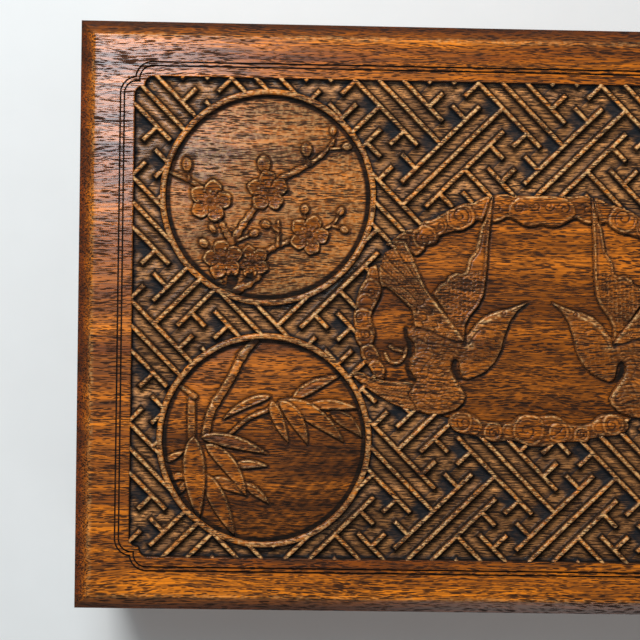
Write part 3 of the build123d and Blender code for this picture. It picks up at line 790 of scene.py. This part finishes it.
picture_wood, grain, _ = stained("picture wood", (0.21, 0.05, 0.003), (0.73, 0.19, 0.012), polish=0.3)
read_marks(grain)
plum = roundel("plum")
for path, start, end, rise, knots in (
        ([(-31.5, 7.4), (-25, 4.9), (-21.1, 2.3)], 0.5, 0.8, 0.55, 0),
        ([(4.3, 6.1), (9.4, 8.8), (15, 11.9), (19.2, 15.8), (20.9, 18.4), (20.5, 20.6)],
         0.95, 0.4, 0.6, 0.12),
        ([(8, -13.6), (3.3, -15.4), (-0.2, -17.4), (-3.2, -19.4)], 0.6, 1.0, 0.6, 0.12),
        ([(3.3, -15.4), (3.6, -12), (3.4, -7.7)], 0.55, 0.35, 0.5, 0),
        ([(3.4, -10.7), (0.2, -9)], 0.4, 0.35, 0.45, 0),
        ([(-3, -2.1), (-5.9, -6), (-8, -9.1), (-10.1, -12.6), (-12.3, -16.5)], 0.8, 1.3, 0.65, 0.15),
        ([(-15.8, -6.6), (-14.1, -10), (-11.4, -14.7)], 0.7, 1.1, 0.65, 0.15),
        ([(-9.3, -13.9), (-5, -12)], 0.45, 0.35, 0.45, 0),
        ([(-14.7, -29.9), (-16, -26), (-15.2, -22.1)], 1.4, 1.1, 0.6, 0.2),
        ([(-14.7, -29.9), (-9.9, -30.3), (-5.6, -27.6), (-2.2, -24.5), (-1, -21.1)], 1.5, 1.2, 0.7, 0.25)):
    twig(plum, path, start, end, rise, knots)
for stem in ([(-26, 8.5), (-25.3, 5.4)], [(-1.2, 8.2), (-0.4, 6)], [(12.2, 13.6), (12.8, 11)],
             [(19.9, 15.9), (24.2, 16.2)], [(12, -6.4), (11.9, -4.8)],
             [(18.7, -9.6), (21.3, -8.3), (23, -5.2)], [(21.1, -8.8), (23.6, -9.6)],
             [(-17.4, -17.4), (-19.6, -15.8)]):
    twig(plum, stem, 0.4, 0.32, 0.45)
for cx, cy, wide, tall, turn in (
        (-26.1, 10, 3.0, 4.3, 1.6), (-1.5, 10.6, 4.1, 5.4, 1.7), (12.1, 15.4, 3.3, 4.3, 1.7),
        (25.2, 16.8, 2.6, 3.4, 0.2), (20.5, 21.6, 2.1, 2.8, 1.6), (11.9, -3.6, 2.5, 3.0, 1.6),
        (23.4, -4.1, 2.2, 2.8, 1.1), (24.7, -9.9, 2.2, 2.8, -0.3), (-0.6, -8.7, 2.5, 3.1, 2.7),
        (-4.2, -11.6, 2.4, 3.1, 0.3), (-20.4, -15.1, 2.6, 3.3, 2.3), (-17.6, -10.4, 1.8, 3.2, 2.1)):
    bud(plum, cx, cy, wide, tall, turn)
for cx, cy, r, turn in ((-4.6, -20.7, 5.4, 0.7), (-18.5, -1.5, 6.8, 1.35), (-0.2, 2.0, 6.5, 1.6),
                        (13.3, -11.8, 6.4, 1.2), (-14.0, -20.2, 6.4, 1.75)):
    petal_flower(plum, cx, cy, r, turn)
# Two pits in the trunk, cut deep and painted black as shade.
for pit in ([(-13.2, -29.3), (-12.7, -25.6), (-11.4, -24.0), (-9.0, -26.3), (-9.5, -28.5), (-11.3, -29.7)],
            [(-7.7, -27.4), (-6.6, -24.8), (-4.4, -23.8), (-3.8, -25.5), (-5.1, -27.0), (-6.8, -27.9)]):
    pitted = held(plum.within(pit) / 0.4 + 0.5)
    plum.z = plum.z - 0.5 * pitted
    plum.dark_stain_and_shade = np.maximum(plum.dark_stain_and_shade, pitted)
set_in(plum, "plum", glow=0.32)


# Bamboo roundel.
# Lower left picture: jointed canes coming down from the ring, and sprays of long
# pointed leaves whose edges stand up bright round a hollowed blade.

def cane(relief, path, half, joints):
    """A round cane with a raised ring at each joint, given as shares of its length."""
    away, share, _ = relief.near(eased(path))
    wide = half * (1 + sum(0.22 * bell(share, 0.025, j) for j in joints))
    crown = relief.floor + 0.75 * (0.5 + 0.5 * np.sqrt(held(1 - (away / wide) ** 2)))
    for j in joints:
        crown = crown + 0.12 * bell(share, 0.02, j) - 0.3 * bell(share - j, 0.012, 0.035)
    relief.stand(wide - away, crown, 0.4, 0.35)


def blade_leaf(relief, base, middle, tip, width, rise=0.55):
    """A long pointed leaf on a bent spine, widest a third of the way along."""
    path = []
    for i in range(13):
        t = i / 12
        a, b, c = 1 - 3 * t + 2 * t * t, 4 * t - 4 * t * t, 2 * t * t - t
        path.append(tuple(a * base[k] + b * middle[k] + c * tip[k] for k in (0, 1)))
    away, share, side = relief.near(path)
    half = width / 2 * np.sin(pi * np.clip(share, 0.002, 0.998) ** 0.72) ** 0.8 + 0.12 * (1 - share)
    inside = half - away
    rim = np.where(side > 0, 0.24, 0.08) * bell(inside, 0.28, 0.35)
    dip = 0.12 * np.where(side > 0, 1, -0.4) * held(away)
    relief.stand(inside, relief.floor + rise + rim - dip, 0.3, 0.42)


bamboo = roundel("bamboo")
long_cane = [(-3.2, 32.6), (-7.6, 27.4), (-9.7, 22.1), (-13.2, 15.9), (-16.2, 11.4), (-17.9, 7), (-18.7, 1.7)]
cane(bamboo, long_cane, 1.25, (0.2, 0.68))
cane(bamboo, [(-23.5, 13.8), (-23.4, 6.9), (-23.3, -0.1)], 1.2, (0.05,))
twig(bamboo, [(-28.4, 17.8), (-22.4, 13.8)], 0.6, 0.8, 0.6)
low_twig = [(-13.5, -0.5), (-10.1, 2.7), (-6.9, 5.8), (-3.4, 8.1), (1.5, 9.9), (5.5, 12.2)]
twig(bamboo, low_twig, 0.55, 0.7, 0.55)
twig(bamboo, [(5, 12.6), (10, 13.8), (13.5, 12)], 0.6, 0.5, 0.5)
for base, middle, tip, width in (
        ((21.3, 9.5), (27.6, 5.8), (31.6, 1.3), 4.2), ((9.1, 13.5), (15.9, 18), (24.3, 21.3), 3.5),
        ((14.3, 11), (20.9, 11.9), (30.4, 10.7), 3.1), ((1.6, 14.3), (-6.1, 11.6), (-13.1, 6.8), 2.6),
        ((6.7, 12.8), (16.5, 7.9), (25.7, -0.1), 5.5), ((5, 12.6), (9.9, 7.4), (14, -1), 4.5),
        ((2.3, 12.6), (4.6, 6.4), (7.8, -0.4), 3.5), ((-31.4, -7.1), (-28.4, -5.3), (-25.7, -4), 2.0),
        ((-29.6, -13.3), (-27, -11.9), (-24.5, -13.7), 1.9),
        ((-24.5, -13.7), (-26, -15.9), (-27.3, -18.1), 1.8),
        ((-16.8, -13.1), (-11.5, -14.4), (-5.7, -17.6), 3.5),
        ((-6.4, -14.1), (-1.7, -17.1), (2.1, -20.5), 2.6),
        ((-9.5, -8.6), (-4.5, -7.7), (1.3, -8.3), 2.6), ((-20, 0.8), (-9.4, -0.7), (1.2, -4.3), 4.0),
        ((-18.6, -11.4), (-14.5, -19.7), (-9, -31.1), 5.3),
        ((-18.5, -1.7), (-11.1, -8.2), (-5.4, -18), 4.8), ((-22.6, 0.6), (-22.4, -8.3), (-20.6, -26.4), 6.8)):
    blade_leaf(bamboo, base, middle, tip, width, 0.5 + 0.03 * width)
set_in(bamboo, "bamboo", lower_right_shade=0.85)


# Orchid roundel.
# Upper right picture: a tuft of long arching leaves with two orchid flowers, cut the
# same way as the plum and the bamboo.

orchid = roundel("orchid")
for base, middle, tip, width in (
        ((1, -24), (-10, -8), (-25, 2), 2.6), ((0, -24), (-6, -2), (-16, 17), 2.8),
        ((2, -24), (2, 2), (-3, 25), 2.7), ((3, -24), (12, -4), (25, 4), 2.8),
        ((4, -24), (14, -12), (27, -13), 2.4), ((-1, -24), (-12, -17), (-23, -19), 2.2)):
    blade_leaf(orchid, base, middle, tip, width)
twig(orchid, [(2, -22), (5, -8), (10, 8)], 0.6, 0.45, 0.5)
twig(orchid, [(1, -22), (-7, -10), (-9, -3)], 0.55, 0.4, 0.5)
for cx, cy, r, turn in ((11.5, 13, 8.4, 1.5), (-9.8, 1, 7.2, 1.9)):
    for lean, reach, width in ((0, 1, 0.34), (1.25, 1, 0.32), (-1.25, 1, 0.32), (2.5, 0.95, 0.3),
                               (-2.5, 0.95, 0.3)):
        a = turn + lean
        blade_leaf(orchid, (cx, cy), swung(cx, cy, 0.5 * r * reach, a + 0.12), swung(cx, cy, r * reach, a),
                   1.25 * r * width, 0.65)
    bud(orchid, cx, cy, 0.36 * r, 0.42 * r, turn)
for cx, cy in ((8.4, 3.4), (-6.6, -10.6), (21, 12)):
    bud(orchid, cx, cy, 2.2, 4.2, 0.9)
twig(orchid, [(14, 9), (18, 11), (20, 11.6)], 0.4, 0.35, 0.45)
set_in(orchid, "orchid")


# Chrysanthemum roundel.
# Lower right picture: two full flower heads of narrow petals in two rows, on leafy
# stems, cut the same way.

def full_head(relief, cx, cy, r, turn):
    """A round head: an outer and an inner row of narrow petals round a seeded heart."""
    for count, reach, start in ((18, 1.0, turn), (14, 0.7, turn + 0.2)):
        for k in range(count):
            a = start + k * 2 * pi / count
            base, middle, tip = (swung(cx, cy, away, a) for away in (0.15 * r, 0.6 * r * reach, r * reach))
            blade_leaf(relief, base, middle, tip, 4.6 * r * reach / count, 0.5 + 0.16 * (reach < 1))
    away = np.hypot(relief.x - cx, relief.y - cy)
    knurl = 0.08 * np.sin(relief.x * 5.2) * np.sin(relief.y * 5.2)
    relief.stand(0.24 * r - away, relief.floor + 0.8 + knurl, 0.3, 0.3)


def notched_leaf(relief, base, tip, width):
    """A lobed leaf: three pairs of short blades along a rib."""
    dx, dy = tip[0] - base[0], tip[1] - base[1]
    for share, size in ((0.15, 0.75), (0.4, 0.9), (0.66, 0.7)):
        for way in (-1, 1):
            sx, sy = base[0] + share * dx, base[1] + share * dy
            ex, ey = sx + 0.24 * dx - way * dy * width * size, sy + 0.24 * dy + way * dx * width * size
            middle = (sx + ex) / 2 + 0.06 * dx, (sy + ey) / 2 + 0.06 * dy
            blade_leaf(relief, (sx, sy), middle, (ex, ey), 3.6 * size, 0.45)
    blade_leaf(relief, base, (base[0] + 0.5 * dx, base[1] + 0.5 * dy), tip, 4.0, 0.5)


blooms = roundel("chrysanthemum")
twig(blooms, [(-4, -31), (-2, -18), (-8, -4), (-9, 4)], 1.1, 0.8, 0.65, 0.12)
twig(blooms, [(-2.5, -20), (6, -12), (12, -9)], 0.9, 0.6, 0.6, 0.1)
for base, tip, width in (((-4, -15), (-19, -19), 0.42), ((-8, -3), (-24, -7), 0.42),
                         ((0, -18), (14, -25), 0.42), ((2, -2), (18, 6), 0.4)):
    notched_leaf(blooms, base, tip, width)
twig(blooms, [(-6.5, -7), (-2, -4), (3, -2)], 0.6, 0.5, 0.5)
full_head(blooms, -8.5, 11.5, 12.5, 0.1)
full_head(blooms, 15.5, -8.5, 9.5, 0.25)
bud(blooms, 17.5, 18.5, 4.0, 5.0, 1.1)
twig(blooms, [(3.5, 14), (11, 17), (15.5, 17.6)], 0.6, 0.45, 0.5)
set_in(blooms, "chrysanthemum")


# Oval panel with two birds.
# The middle picture: two birds face each other with wings raised, in a band of curled
# clouds. Feathers, scales and curls are engraved; the floor behind is smooth.

oval = Relief((0, 0), half_x=64.0, half_y=43.5, pitch=0.285)
wide_x = oval.x
oval.x = -np.abs(wide_x)                   # the right half mirrors the left
x, y = oval.x, oval.y
inside = oval.within(floor_outline)
dome = 0.4 * held(1 - np.hypot(x / 52, y / 33) ** 2)
oval.floor = -1.4 + dome + 0.04 * uneven(wide_x, y, 5.2, 0.3)
share = held(inside / 0.4 + 0.5)
oval.z = field_floor * (1 - share) + oval.floor * share
# Stain and painted shade where the floor meets the fret.
oval.dark_stain_and_shade = bell(inside, 0.4)


def puff(inside, cx, cy, r, across):
    """One rounded lobe of a cloud, standing a little over the lobes before it."""
    away = np.hypot(across - cx, y - cy) + 0.25 * uneven(across, y, 1.9, cx)
    lobe = np.minimum(inside, r - away)
    crown = -0.4 + 0.12 * np.sqrt(held(1 - (away / r) ** 2)) + 0.1 * bell(lobe, 0.3, 0.4)
    oval.stand(lobe, crown, 0.35, 0.22)
    oval.score(np.abs(lobe - 1.05) + 9 * (lobe < 0.3), 0.17, 0.14)


def curl(cx, cy, r, turn, across):
    """A C-shaped or spiral line, cut from the rim of a lobe in to its middle."""
    path = []
    for i in range(19):
        share = i / 18
        path.append(swung(cx, cy, 1.2 * r * (1 - 0.82 * share), turn + share * 8.2))
    oval.score(near_path(across, y, path)[0], 0.25, 0.22)


low_inside = within(wide_x, y, rounded(low_band))
for outline in low_clouds:
    low_inside = np.maximum(low_inside, within(wide_x, y, rounded(outline)))
high_insides = [(oval.within(rounded(outline)), x) for outline in clouds]
for inside, across in high_insides + [(low_inside, wide_x)]:
    crown = -0.48 + 0.12 * held(inside / 2.5) + 0.14 * bell(inside, 0.3, 0.4)
    oval.stand(inside, crown + 0.03 * uneven(across, y, 0.8, 2.0), 0.4, 0.42)
    away = np.abs(inside - 1.05) + 9 * (inside < 0.3) + 0.25 * (uneven(across, y, 2.7, 4.0) > 0.25)
    oval.score(away, 0.18, 0.13)
for inside, across, puffs in (
        (low_inside, wide_x, (
            (-20.6, -33.4, 2.7), (20.4, -33.4, 2.7), (-9, -34.8, 2.6), (9.6, -35, 2.5), (-14.2, -35.2, 3.1),
            (14.6, -35.6, 2.7), (-24.6, -32.2, 3.6), (24.8, -32.2, 3.6), (7, -35.2, 3.4),
            (-2.6, -34.4, 5.2))),
        (oval.within(clouds[0]), x, (
            (-54, 14.5, 3), (-54.8, 10, 3.6), (-56, 5.6, 3.2), (-56.5, -5.4, 3.3), (-56.9, 0.6, 3.5),
            (-55, -10.6, 3.2), (-52.3, -15.6, 3))),
        (oval.within(clouds[1]), x, (
            (-46, 26, 3.5), (-19.5, 37, 4.2), (-34, 31.2, 3.6), (-37.6, 27.2, 4), (-26.2, 33.9, 4.6)))):
    for cx, cy, r in puffs:
        puff(inside, cx, cy, r, across)
for cx, cy, r, turn in ((-58, 1.3, 1.4, 0.5), (-55.8, -4.2, 1.5, 2.6), (-54.8, -10.8, 1.5, 1.0),
                        (-54.6, 9.4, 1.4, 3.9), (-26.4, 34.4, 2.5, 5.6), (-37.9, 26.7, 2.3, 2.2),
                        (-14.6, 37.3, 1.9, 0.4), (-32.6, 30.9, 1.6, 3.4)):
    curl(cx, cy, r, turn, x)
long_cloud = rounded([(2, 41.2), (-5.7, 40.8), (-8.3, 40.2), (-10.2, 38.5), (-10.9, 36.4), (-10.6, 34.8),
                      (-7.8, 33.1), (-5.5, 31.8), (-2.4, 31.7), (0, 32.3), (2, 32.1)])
inside = oval.within(long_cloud)
oval.stand(inside, -0.3 + 0.14 * held(inside / 3) + 0.1 * bell(inside, 0.3, 0.4), 0.4, 0.2)
for cx, cy, r, turn in ((-7.2, 37.2, 1.9, 0.3), (-2.2, 37.9, 1.5, 3.1)):
    curl(cx, cy, r, turn, x)
for cx, cy, r, turn in ((-23.6, -32.4, 2.0, 2.8), (-14, -35.6, 1.6, 0.4), (-3.4, -34.6, 2.6, 3.4),
                        (14.4, -35.4, 1.3, 1.7), (24.4, -32.4, 2.0, 0.2)):
    curl(cx, cy, r, turn, wide_x)
swirl = [(-7, -36.6), (-3.5, -38), (2, -37.4), (6, -36), (8.6, -33.4), (6.8, -31.6), (2.6, -32.4)]
oval.score(near_path(wide_x, y, eased(swirl))[0], 0.2, 0.2)


def ribbed(inside, grooves, width, depth):
    """Engraves lines inside a form only; grooves is a phase that rises by 1 from line to line."""
    line = bell(0.5 - np.abs(grooves % 1 - 0.5), width) * held(inside / 0.4)
    oval.z = oval.z - depth * line
    # Each groove is darkened as stain and painted shade, with a painted highlight along one side.
    oval.dark_stain_and_shade = np.maximum(oval.dark_stain_and_shade, min(0.95, 6 * depth) * line)
    ridge = bell(0.5 - np.abs((grooves + 1.6 * width) % 1 - 0.5), width) * held(inside / 0.6)
    oval.painted_highlight = np.maximum(oval.painted_highlight, min(0.4, 2 * depth) * ridge)


def wander(size, seed):
    """The unevenness of the oval's cuts."""
    return uneven(x, y, size, seed)


def paint_highlight(path, width=0.4):
    """A painted highlight along an edge of the oval's relief."""
    away = oval.near(eased(path))[0]
    oval.painted_highlight = np.maximum(oval.painted_highlight, (0.8 + 0.25 * wander(0.9, 0.4)) * bell(away, width))


# Tail: long feathers that sweep out to a point on the left.
inside = oval.within(rounded(tail))
away = oval.near([(-34, -19), (-44, -19.4), (-52, -18.7), (-56.9, -16.6), (-61.3, -16)])[0]
oval.stand(inside, -0.36 - 0.015 * away, 0.35, 0.45)
ribbed(inside, (away + 0.3 * wander(2.2, 1.0)) / 1.9 + 0.35, 0.12, 0.2)
ribbed(inside, x + away * 0.9 + 0.4 * wander(1.1, 2.0), 0.18, 0.08)

# Body, neck and head in one form, under the wings, with a hollow behind the throat.
back_edge = [(-40.3, -1.4), (-41.6, -2.8), (-43.1, -2), (-42.3, -4.9), (-40.2, -7), (-39.9, -9.7),
             (-41.4, -12.7), (-41.1, -14), (-41.9, -15.1), (-40.5, -16.9), (-39.2, -18.8)]
bird = [(-24, -4.6), (-31.1, 3), *back_edge, (-41.5, -23.5), (-38.4, -28.6), (-34.4, -30.2), (-30.4, -29.6),
        (-26.4, -28.2), (-24, -26), (-23.4, -23.9), (-24.4, -21.8), (-25.8, -19.6), (-27.3, -17.6),
        (-28.2, -15.2), (-28, -13.2), (-27, -12), (-25.7, -12.6), (-25.2, -15.5), (-24.6, -18),
        (-22.9, -18.4), (-20.5, -17.5), (-17, -15.7), (-14.1, -12.7), (-12.2, -8.7), (-11.3, -4.5),
        (-9.6, 0.3), (-7.3, 3.9), (-4, 6.8), (-7.6, 5.5), (-10.8, 4.3), (-13.8, 3.7), (-17.4, 2.2),
        (-20.3, -0.3), (-22.6, -3.6)]
inside = oval.within(bird)
oval.stand(inside, -0.72 + 0.56 * np.sqrt(held(inside / 7)), 0.35, 0.5)
trunk = inside * held((-23 - x) / 4)
ribbed(trunk, (y + 0.5 * np.sin(x * 0.7) + 0.9 * wander(2.4, 3.0)) / 1.35, 0.16, 0.12)
ribbed(trunk, (x - 0.5 * y + 1.2 * wander(1.6, 1.4)) / 2.3, 0.12, 0.1)
scale_row = (x * 0.6 + y * 0.8 + 0.5 * wander(1.8, 0.7)) / 1.6
scale_col = (x * 0.8 - y * 0.6) / 1.7 + 0.5 * (np.floor(scale_row) % 2)
breast = inside * (x > -24) * held((1 - y) / 3)
ribbed(breast, scale_row + 0.25 * np.cos(2 * pi * scale_col), 0.13, 0.07)
throat = oval.near(eased([(-27, -12.4), (-27.3, -14.4), (-26.9, -16.2), (-25.4, -18)]))[0]
# The throat's hollow is painted black, as shade.
oval.z = oval.z - 0.7 * bell(throat, 0.9)
oval.dark_stain_and_shade = np.maximum(oval.dark_stain_and_shade, np.minimum(1.4 * bell(throat, 1.15), 1))
# Painted highlights on the breast's edge, along the neck and at the notch.
paint_highlight([(-28, -16.6), (-27.2, -19), (-25.4, -21.4), (-24.4, -23.4)])
paint_highlight([(-22.6, -5.7), (-21.4, -3.3), (-19.1, -0.8), (-16, 1.2), (-12.6, 2.6)])
paint_highlight([(-23.4, -7.4), (-22.2, -7.2)], 1.0)
for path, width, depth in (
        ([(-22.6, -6.9), (-21.5, -4.6), (-19.5, -2.3), (-17.3, -1.3), (-14.6, -2.2)], 0.24, 0.22),
        ([(-9.3, 3.7), (-7.9, 4.5), (-5.3, 5.8)], 0.16, 0.22),
        ([(-13, 1.2), (-11.6, 1.8), (-10.2, 1.2)], 0.18, 0.14)):
    oval.score(oval.near(eased(path))[0], width, depth)
oval.score(np.abs(np.hypot(x + 11.6, y - 3.2) - 0.6), 0.16, 0.22)

# Upright wing, seen nearly edge on: a plain quill above, short ragged feathers below.
wing_right = [(-16, 40.9), (-16.2, 37.7), (-16.5, 32.3), (-17, 26.4), (-17.3, 19.2), (-17.6, 14.5),
              (-18.2, 9.1), (-19.8, 5.5), (-22.7, 1.9), (-24, -1.1), (-24.1, -3.5)]
wing_left = [(-24.2, -6.8), (-25.6, -4.7), (-28, -1.2), (-31.8, 5.3), (-34.5, 9.1), (-33.1, 10.6),
             (-32.5, 11.8), (-30.1, 13.1), (-29.6, 14.6), (-27.2, 15.8), (-25.4, 15.5), (-23.9, 16.2),
             (-23.1, 20.3), (-20.8, 23.3), (-20.1, 26.9), (-19.3, 31.1), (-18.3, 32.9), (-17, 36.7),
             (-16.3, 40.1)]
inside = oval.within(wing_right + wing_left)
away, share, _ = oval.near(wing_right)
oval.stand(inside, -0.34 - 0.04 * np.clip(away, 0, 8) + 0.1 * bell(inside, 0.35, 0.4), 0.35, 0.45)
oval.score(np.abs(away - 1.25) + 9 * (inside < 0.3), 0.2, 0.12)
ragged = held((away - 1.6) / 0.6) * inside * held((17 - y) / 2) * held((y + 3) / 4)
scale_row = (x * 0.5 + y * 0.87 + 0.4 * wander(1.5, 0.2)) / 1.5
scale_col = (x * 0.87 - y * 0.5) / 1.5 + 0.5 * (np.floor(scale_row) % 2)
ribbed(ragged, scale_row + 0.3 * np.cos(2 * pi * scale_col), 0.15, 0.15)
oval.score(np.abs(inside - 0.9) + 9 * ((y < 14) | (share > 0.6)), 0.2, 0.16)
# A painted highlight along the quill's left edge.
paint_highlight([(-24.2, 16), (-23.1, 20.3), (-20.8, 23.3), (-20.1, 26.9), (-19.3, 31.1), (-18.3, 32.9)], 0.5)

# Spread wing: a fan of long fine feathers from the shoulder, then rows of coverts.
spread_wing = [(-50.3, 24.7), (-48.1, 25.7), (-46.2, 26), (-44, 25.8), (-42.4, 22.8), (-41.2, 20.9),
               (-40.4, 18.5), (-39.1, 15.5), (-38, 12.8), (-36.8, 10.2), (-35, 7.9), (-33.4, 6.2),
               (-31.1, 3.3), (-28.3, -0.4), (-25.6, -3.6), (-24.2, -6), (-27, -6.5), (-33, -5),
               (-40.3, -1.4), (-40.6, 1), (-41, 3.1), (-41.8, 4.4), (-44.5, 6.9), (-47.8, 10),
               (-49.6, 11.2), (-51.1, 11.1), (-51.6, 12.6), (-52, 15.8), (-52.4, 18.2), (-52.8, 20.7),
               (-52.8, 22.4)]
inside = oval.within(spread_wing)
out = np.hypot(x + 27, y + 5)
swing = np.degrees(np.arctan2(y + 5, -(x + 27)))
joined = held((out - 9) / 5) + held((x + 27) / 2) * (y > -5)
joined = np.maximum(held(joined), held((y + 0.9 * (x + 27) + 9) / 6))
oval.stand(inside - 1.2 * (1 - joined), -0.3 - 0.005 * out + 0.12 * bell(inside, 0.4, 0.45), 0.35, 0.45)
long_part = held((out - 15) / 1.5)
fan = swing + 0.7 * wander(3.1, 0.6)
ribbed(inside * long_part, fan / 6.2 + 0.1, 0.09, 0.22)
ribbed(inside * long_part, fan / 2.07 + 0.3, 0.16, 0.12)
ribbed(inside * long_part, out / 1.25 + np.abs((fan / 6.2 + 0.1) % 1 - 0.5) * 2.2, 0.16, 0.09)
row = out + 1.2 * np.abs(np.sin(np.radians(fan) * 14))
ribbed((inside - 0.8) * (1 - long_part), row / 4.1, 0.09, 0.2)
ribbed((inside - 0.8) * (1 - long_part), fan / 4.0, 0.14, 0.11)
# A painted highlight along the wing's right edge.
paint_highlight([(-44, 25.4), (-42.2, 21.6), (-40, 16), (-37.6, 10.6), (-34, 6), (-31.6, 2.9), (-28.8, -0.8),
     (-25.6, -4.6)])

# The dark gap behind the body, and two small scrolls beside it.
away = oval.near([(-43.2, -2.5), (-42.9, -4.9), (-41.8, -7.1), (-41.6, -10.3), (-42.4, -12.7),
                  (-42.4, -15.3), (-41.4, -17.6), (-39.9, -19.2)])[0]
# The gap is cut in and painted black, as shade.
oval.score(away, 0.5, 0.3)
oval.dark_stain_and_shade = np.maximum(oval.dark_stain_and_shade, np.minimum(1.4 * bell(away, 0.9), 1))
for path in (
        [(-47.9, -8.2), (-46.8, -9.1), (-45.2, -9.2), (-43.3, -10.3)],
        [(-49.5, -10.6), (-48.6, -12.8), (-46.8, -13.6), (-44.6, -13.2), (-43.2, -11.3), (-42.8, -8.9)]):
    away = oval.near(eased(path))[0]
    oval.stand(0.5 - away, oval.floor + 0.55, 0.3, 0.35)

hollow, crest = oval.shades()
# A painted shade on the lower part of the floor.
plain = held((-0.85 - oval.z) / 0.15)
mottled = 0.6 + 0.4 * uneven(wide_x, y, 0.9, 1.3)
hollow = np.maximum(hollow, 0.6 * plain * mottled * held((-y - 4) / 20))
oval.z = np.clip(oval.z, field_floor, -0.05)
forms = oval_forms(wide_x, y)
# Stain and painted shade along the foot of the oval's forms.
hollow = np.maximum(hollow, held(0.35 - forms))
oval.z = np.where(forms > 0.6, np.maximum(oval.z, -1.66), oval.z)
skin("oval_panel", wide_x, y, oval.z, forms > -0.45, {"hollow": hollow, "crest": crest}, picture_wood)


# Floor, light and camera.
# A plain pale sweep under the box. A broad soft lamp stands high behind the box's left, a
# small one lights the back left corner of the lid, a low one fills the front, and the room
# is pale. The camera looks straight down on the left part of the lid.

bm = bmesh.new()
bmesh.ops.create_grid(bm, x_segments=1, y_segments=1, size=2.5)
mesh = bpy.data.meshes.new("floor")
bm.to_mesh(mesh)
bm.free()
floor = bpy.data.objects.new("floor", mesh)
scene.collection.objects.link(floor)
paper, _, shader, spot_mm = fresh("pale paper")
mottle = clouds_of(spot_mm, (0.06, 0.06, 0.06), 3.0)
paper_tone = tint(mottle, (0.78, 0.77, 0.75, 1), (0.82, 0.81, 0.79, 1))
feed(shader, {"Base Color": paper_tone, "Roughness": 0.7})
mesh.materials.append(paper)


def area_lamp(name, size, energy, color, place, aim):
    """A lamp with a flat bright face, turned toward a point."""
    data = bpy.data.lights.new(name, "AREA")
    data.shape = "RECTANGLE"
    data.size, data.size_y = size
    data.energy, data.color = energy, color
    lamp = bpy.data.objects.new(name, data)
    scene.collection.objects.link(lamp)
    lamp.location = place
    lamp.rotation_euler = (Vector(aim) - lamp.location).to_track_quat("-Z", "Y").to_euler()


area_lamp("broad lamp", size=(0.3, 0.22), energy=7.2, color=(1, 1, 1),
          place=(-0.26, 0.6, 0.68), aim=(-0.07, 0, 0.11))
area_lamp("soft card", size=(0.09, 0.18), energy=1.15, color=(0.6, 0.85, 1.0),
          place=(-0.194, 0.122, 0.66), aim=(-0.13, 0.06, 0.11))
area_lamp("low fill", size=(1.0, 0.5), energy=4.0, color=(1, 1, 1),
          place=(0.5, -1.2, 0.42), aim=(0, 0, 0.06))

room = bpy.data.worlds.new("pale room")
scene.world = room
room.use_nodes = True
feed(room.node_tree.nodes["Background"], {"Color": (0.95, 0.97, 1.0, 1), "Strength": 0.2})

seen_width = 0.2050                        # what the picture shows at the lid's top
camera_height = 0.75
camera_data = bpy.data.cameras.new("camera")
camera_data.lens = camera_data.sensor_width * camera_height / seen_width
camera_data.clip_start, camera_data.clip_end = 0.05, 20
camera = bpy.data.objects.new("camera", camera_data)
scene.collection.objects.link(camera)
camera.location = (-0.0956, 0.0394, lid_top + camera_height)
camera.rotation_euler = (radians(-3.03), radians(-1.84), radians(1.04))
scene.camera = camera
scene.view_settings.view_transform = "Standard"
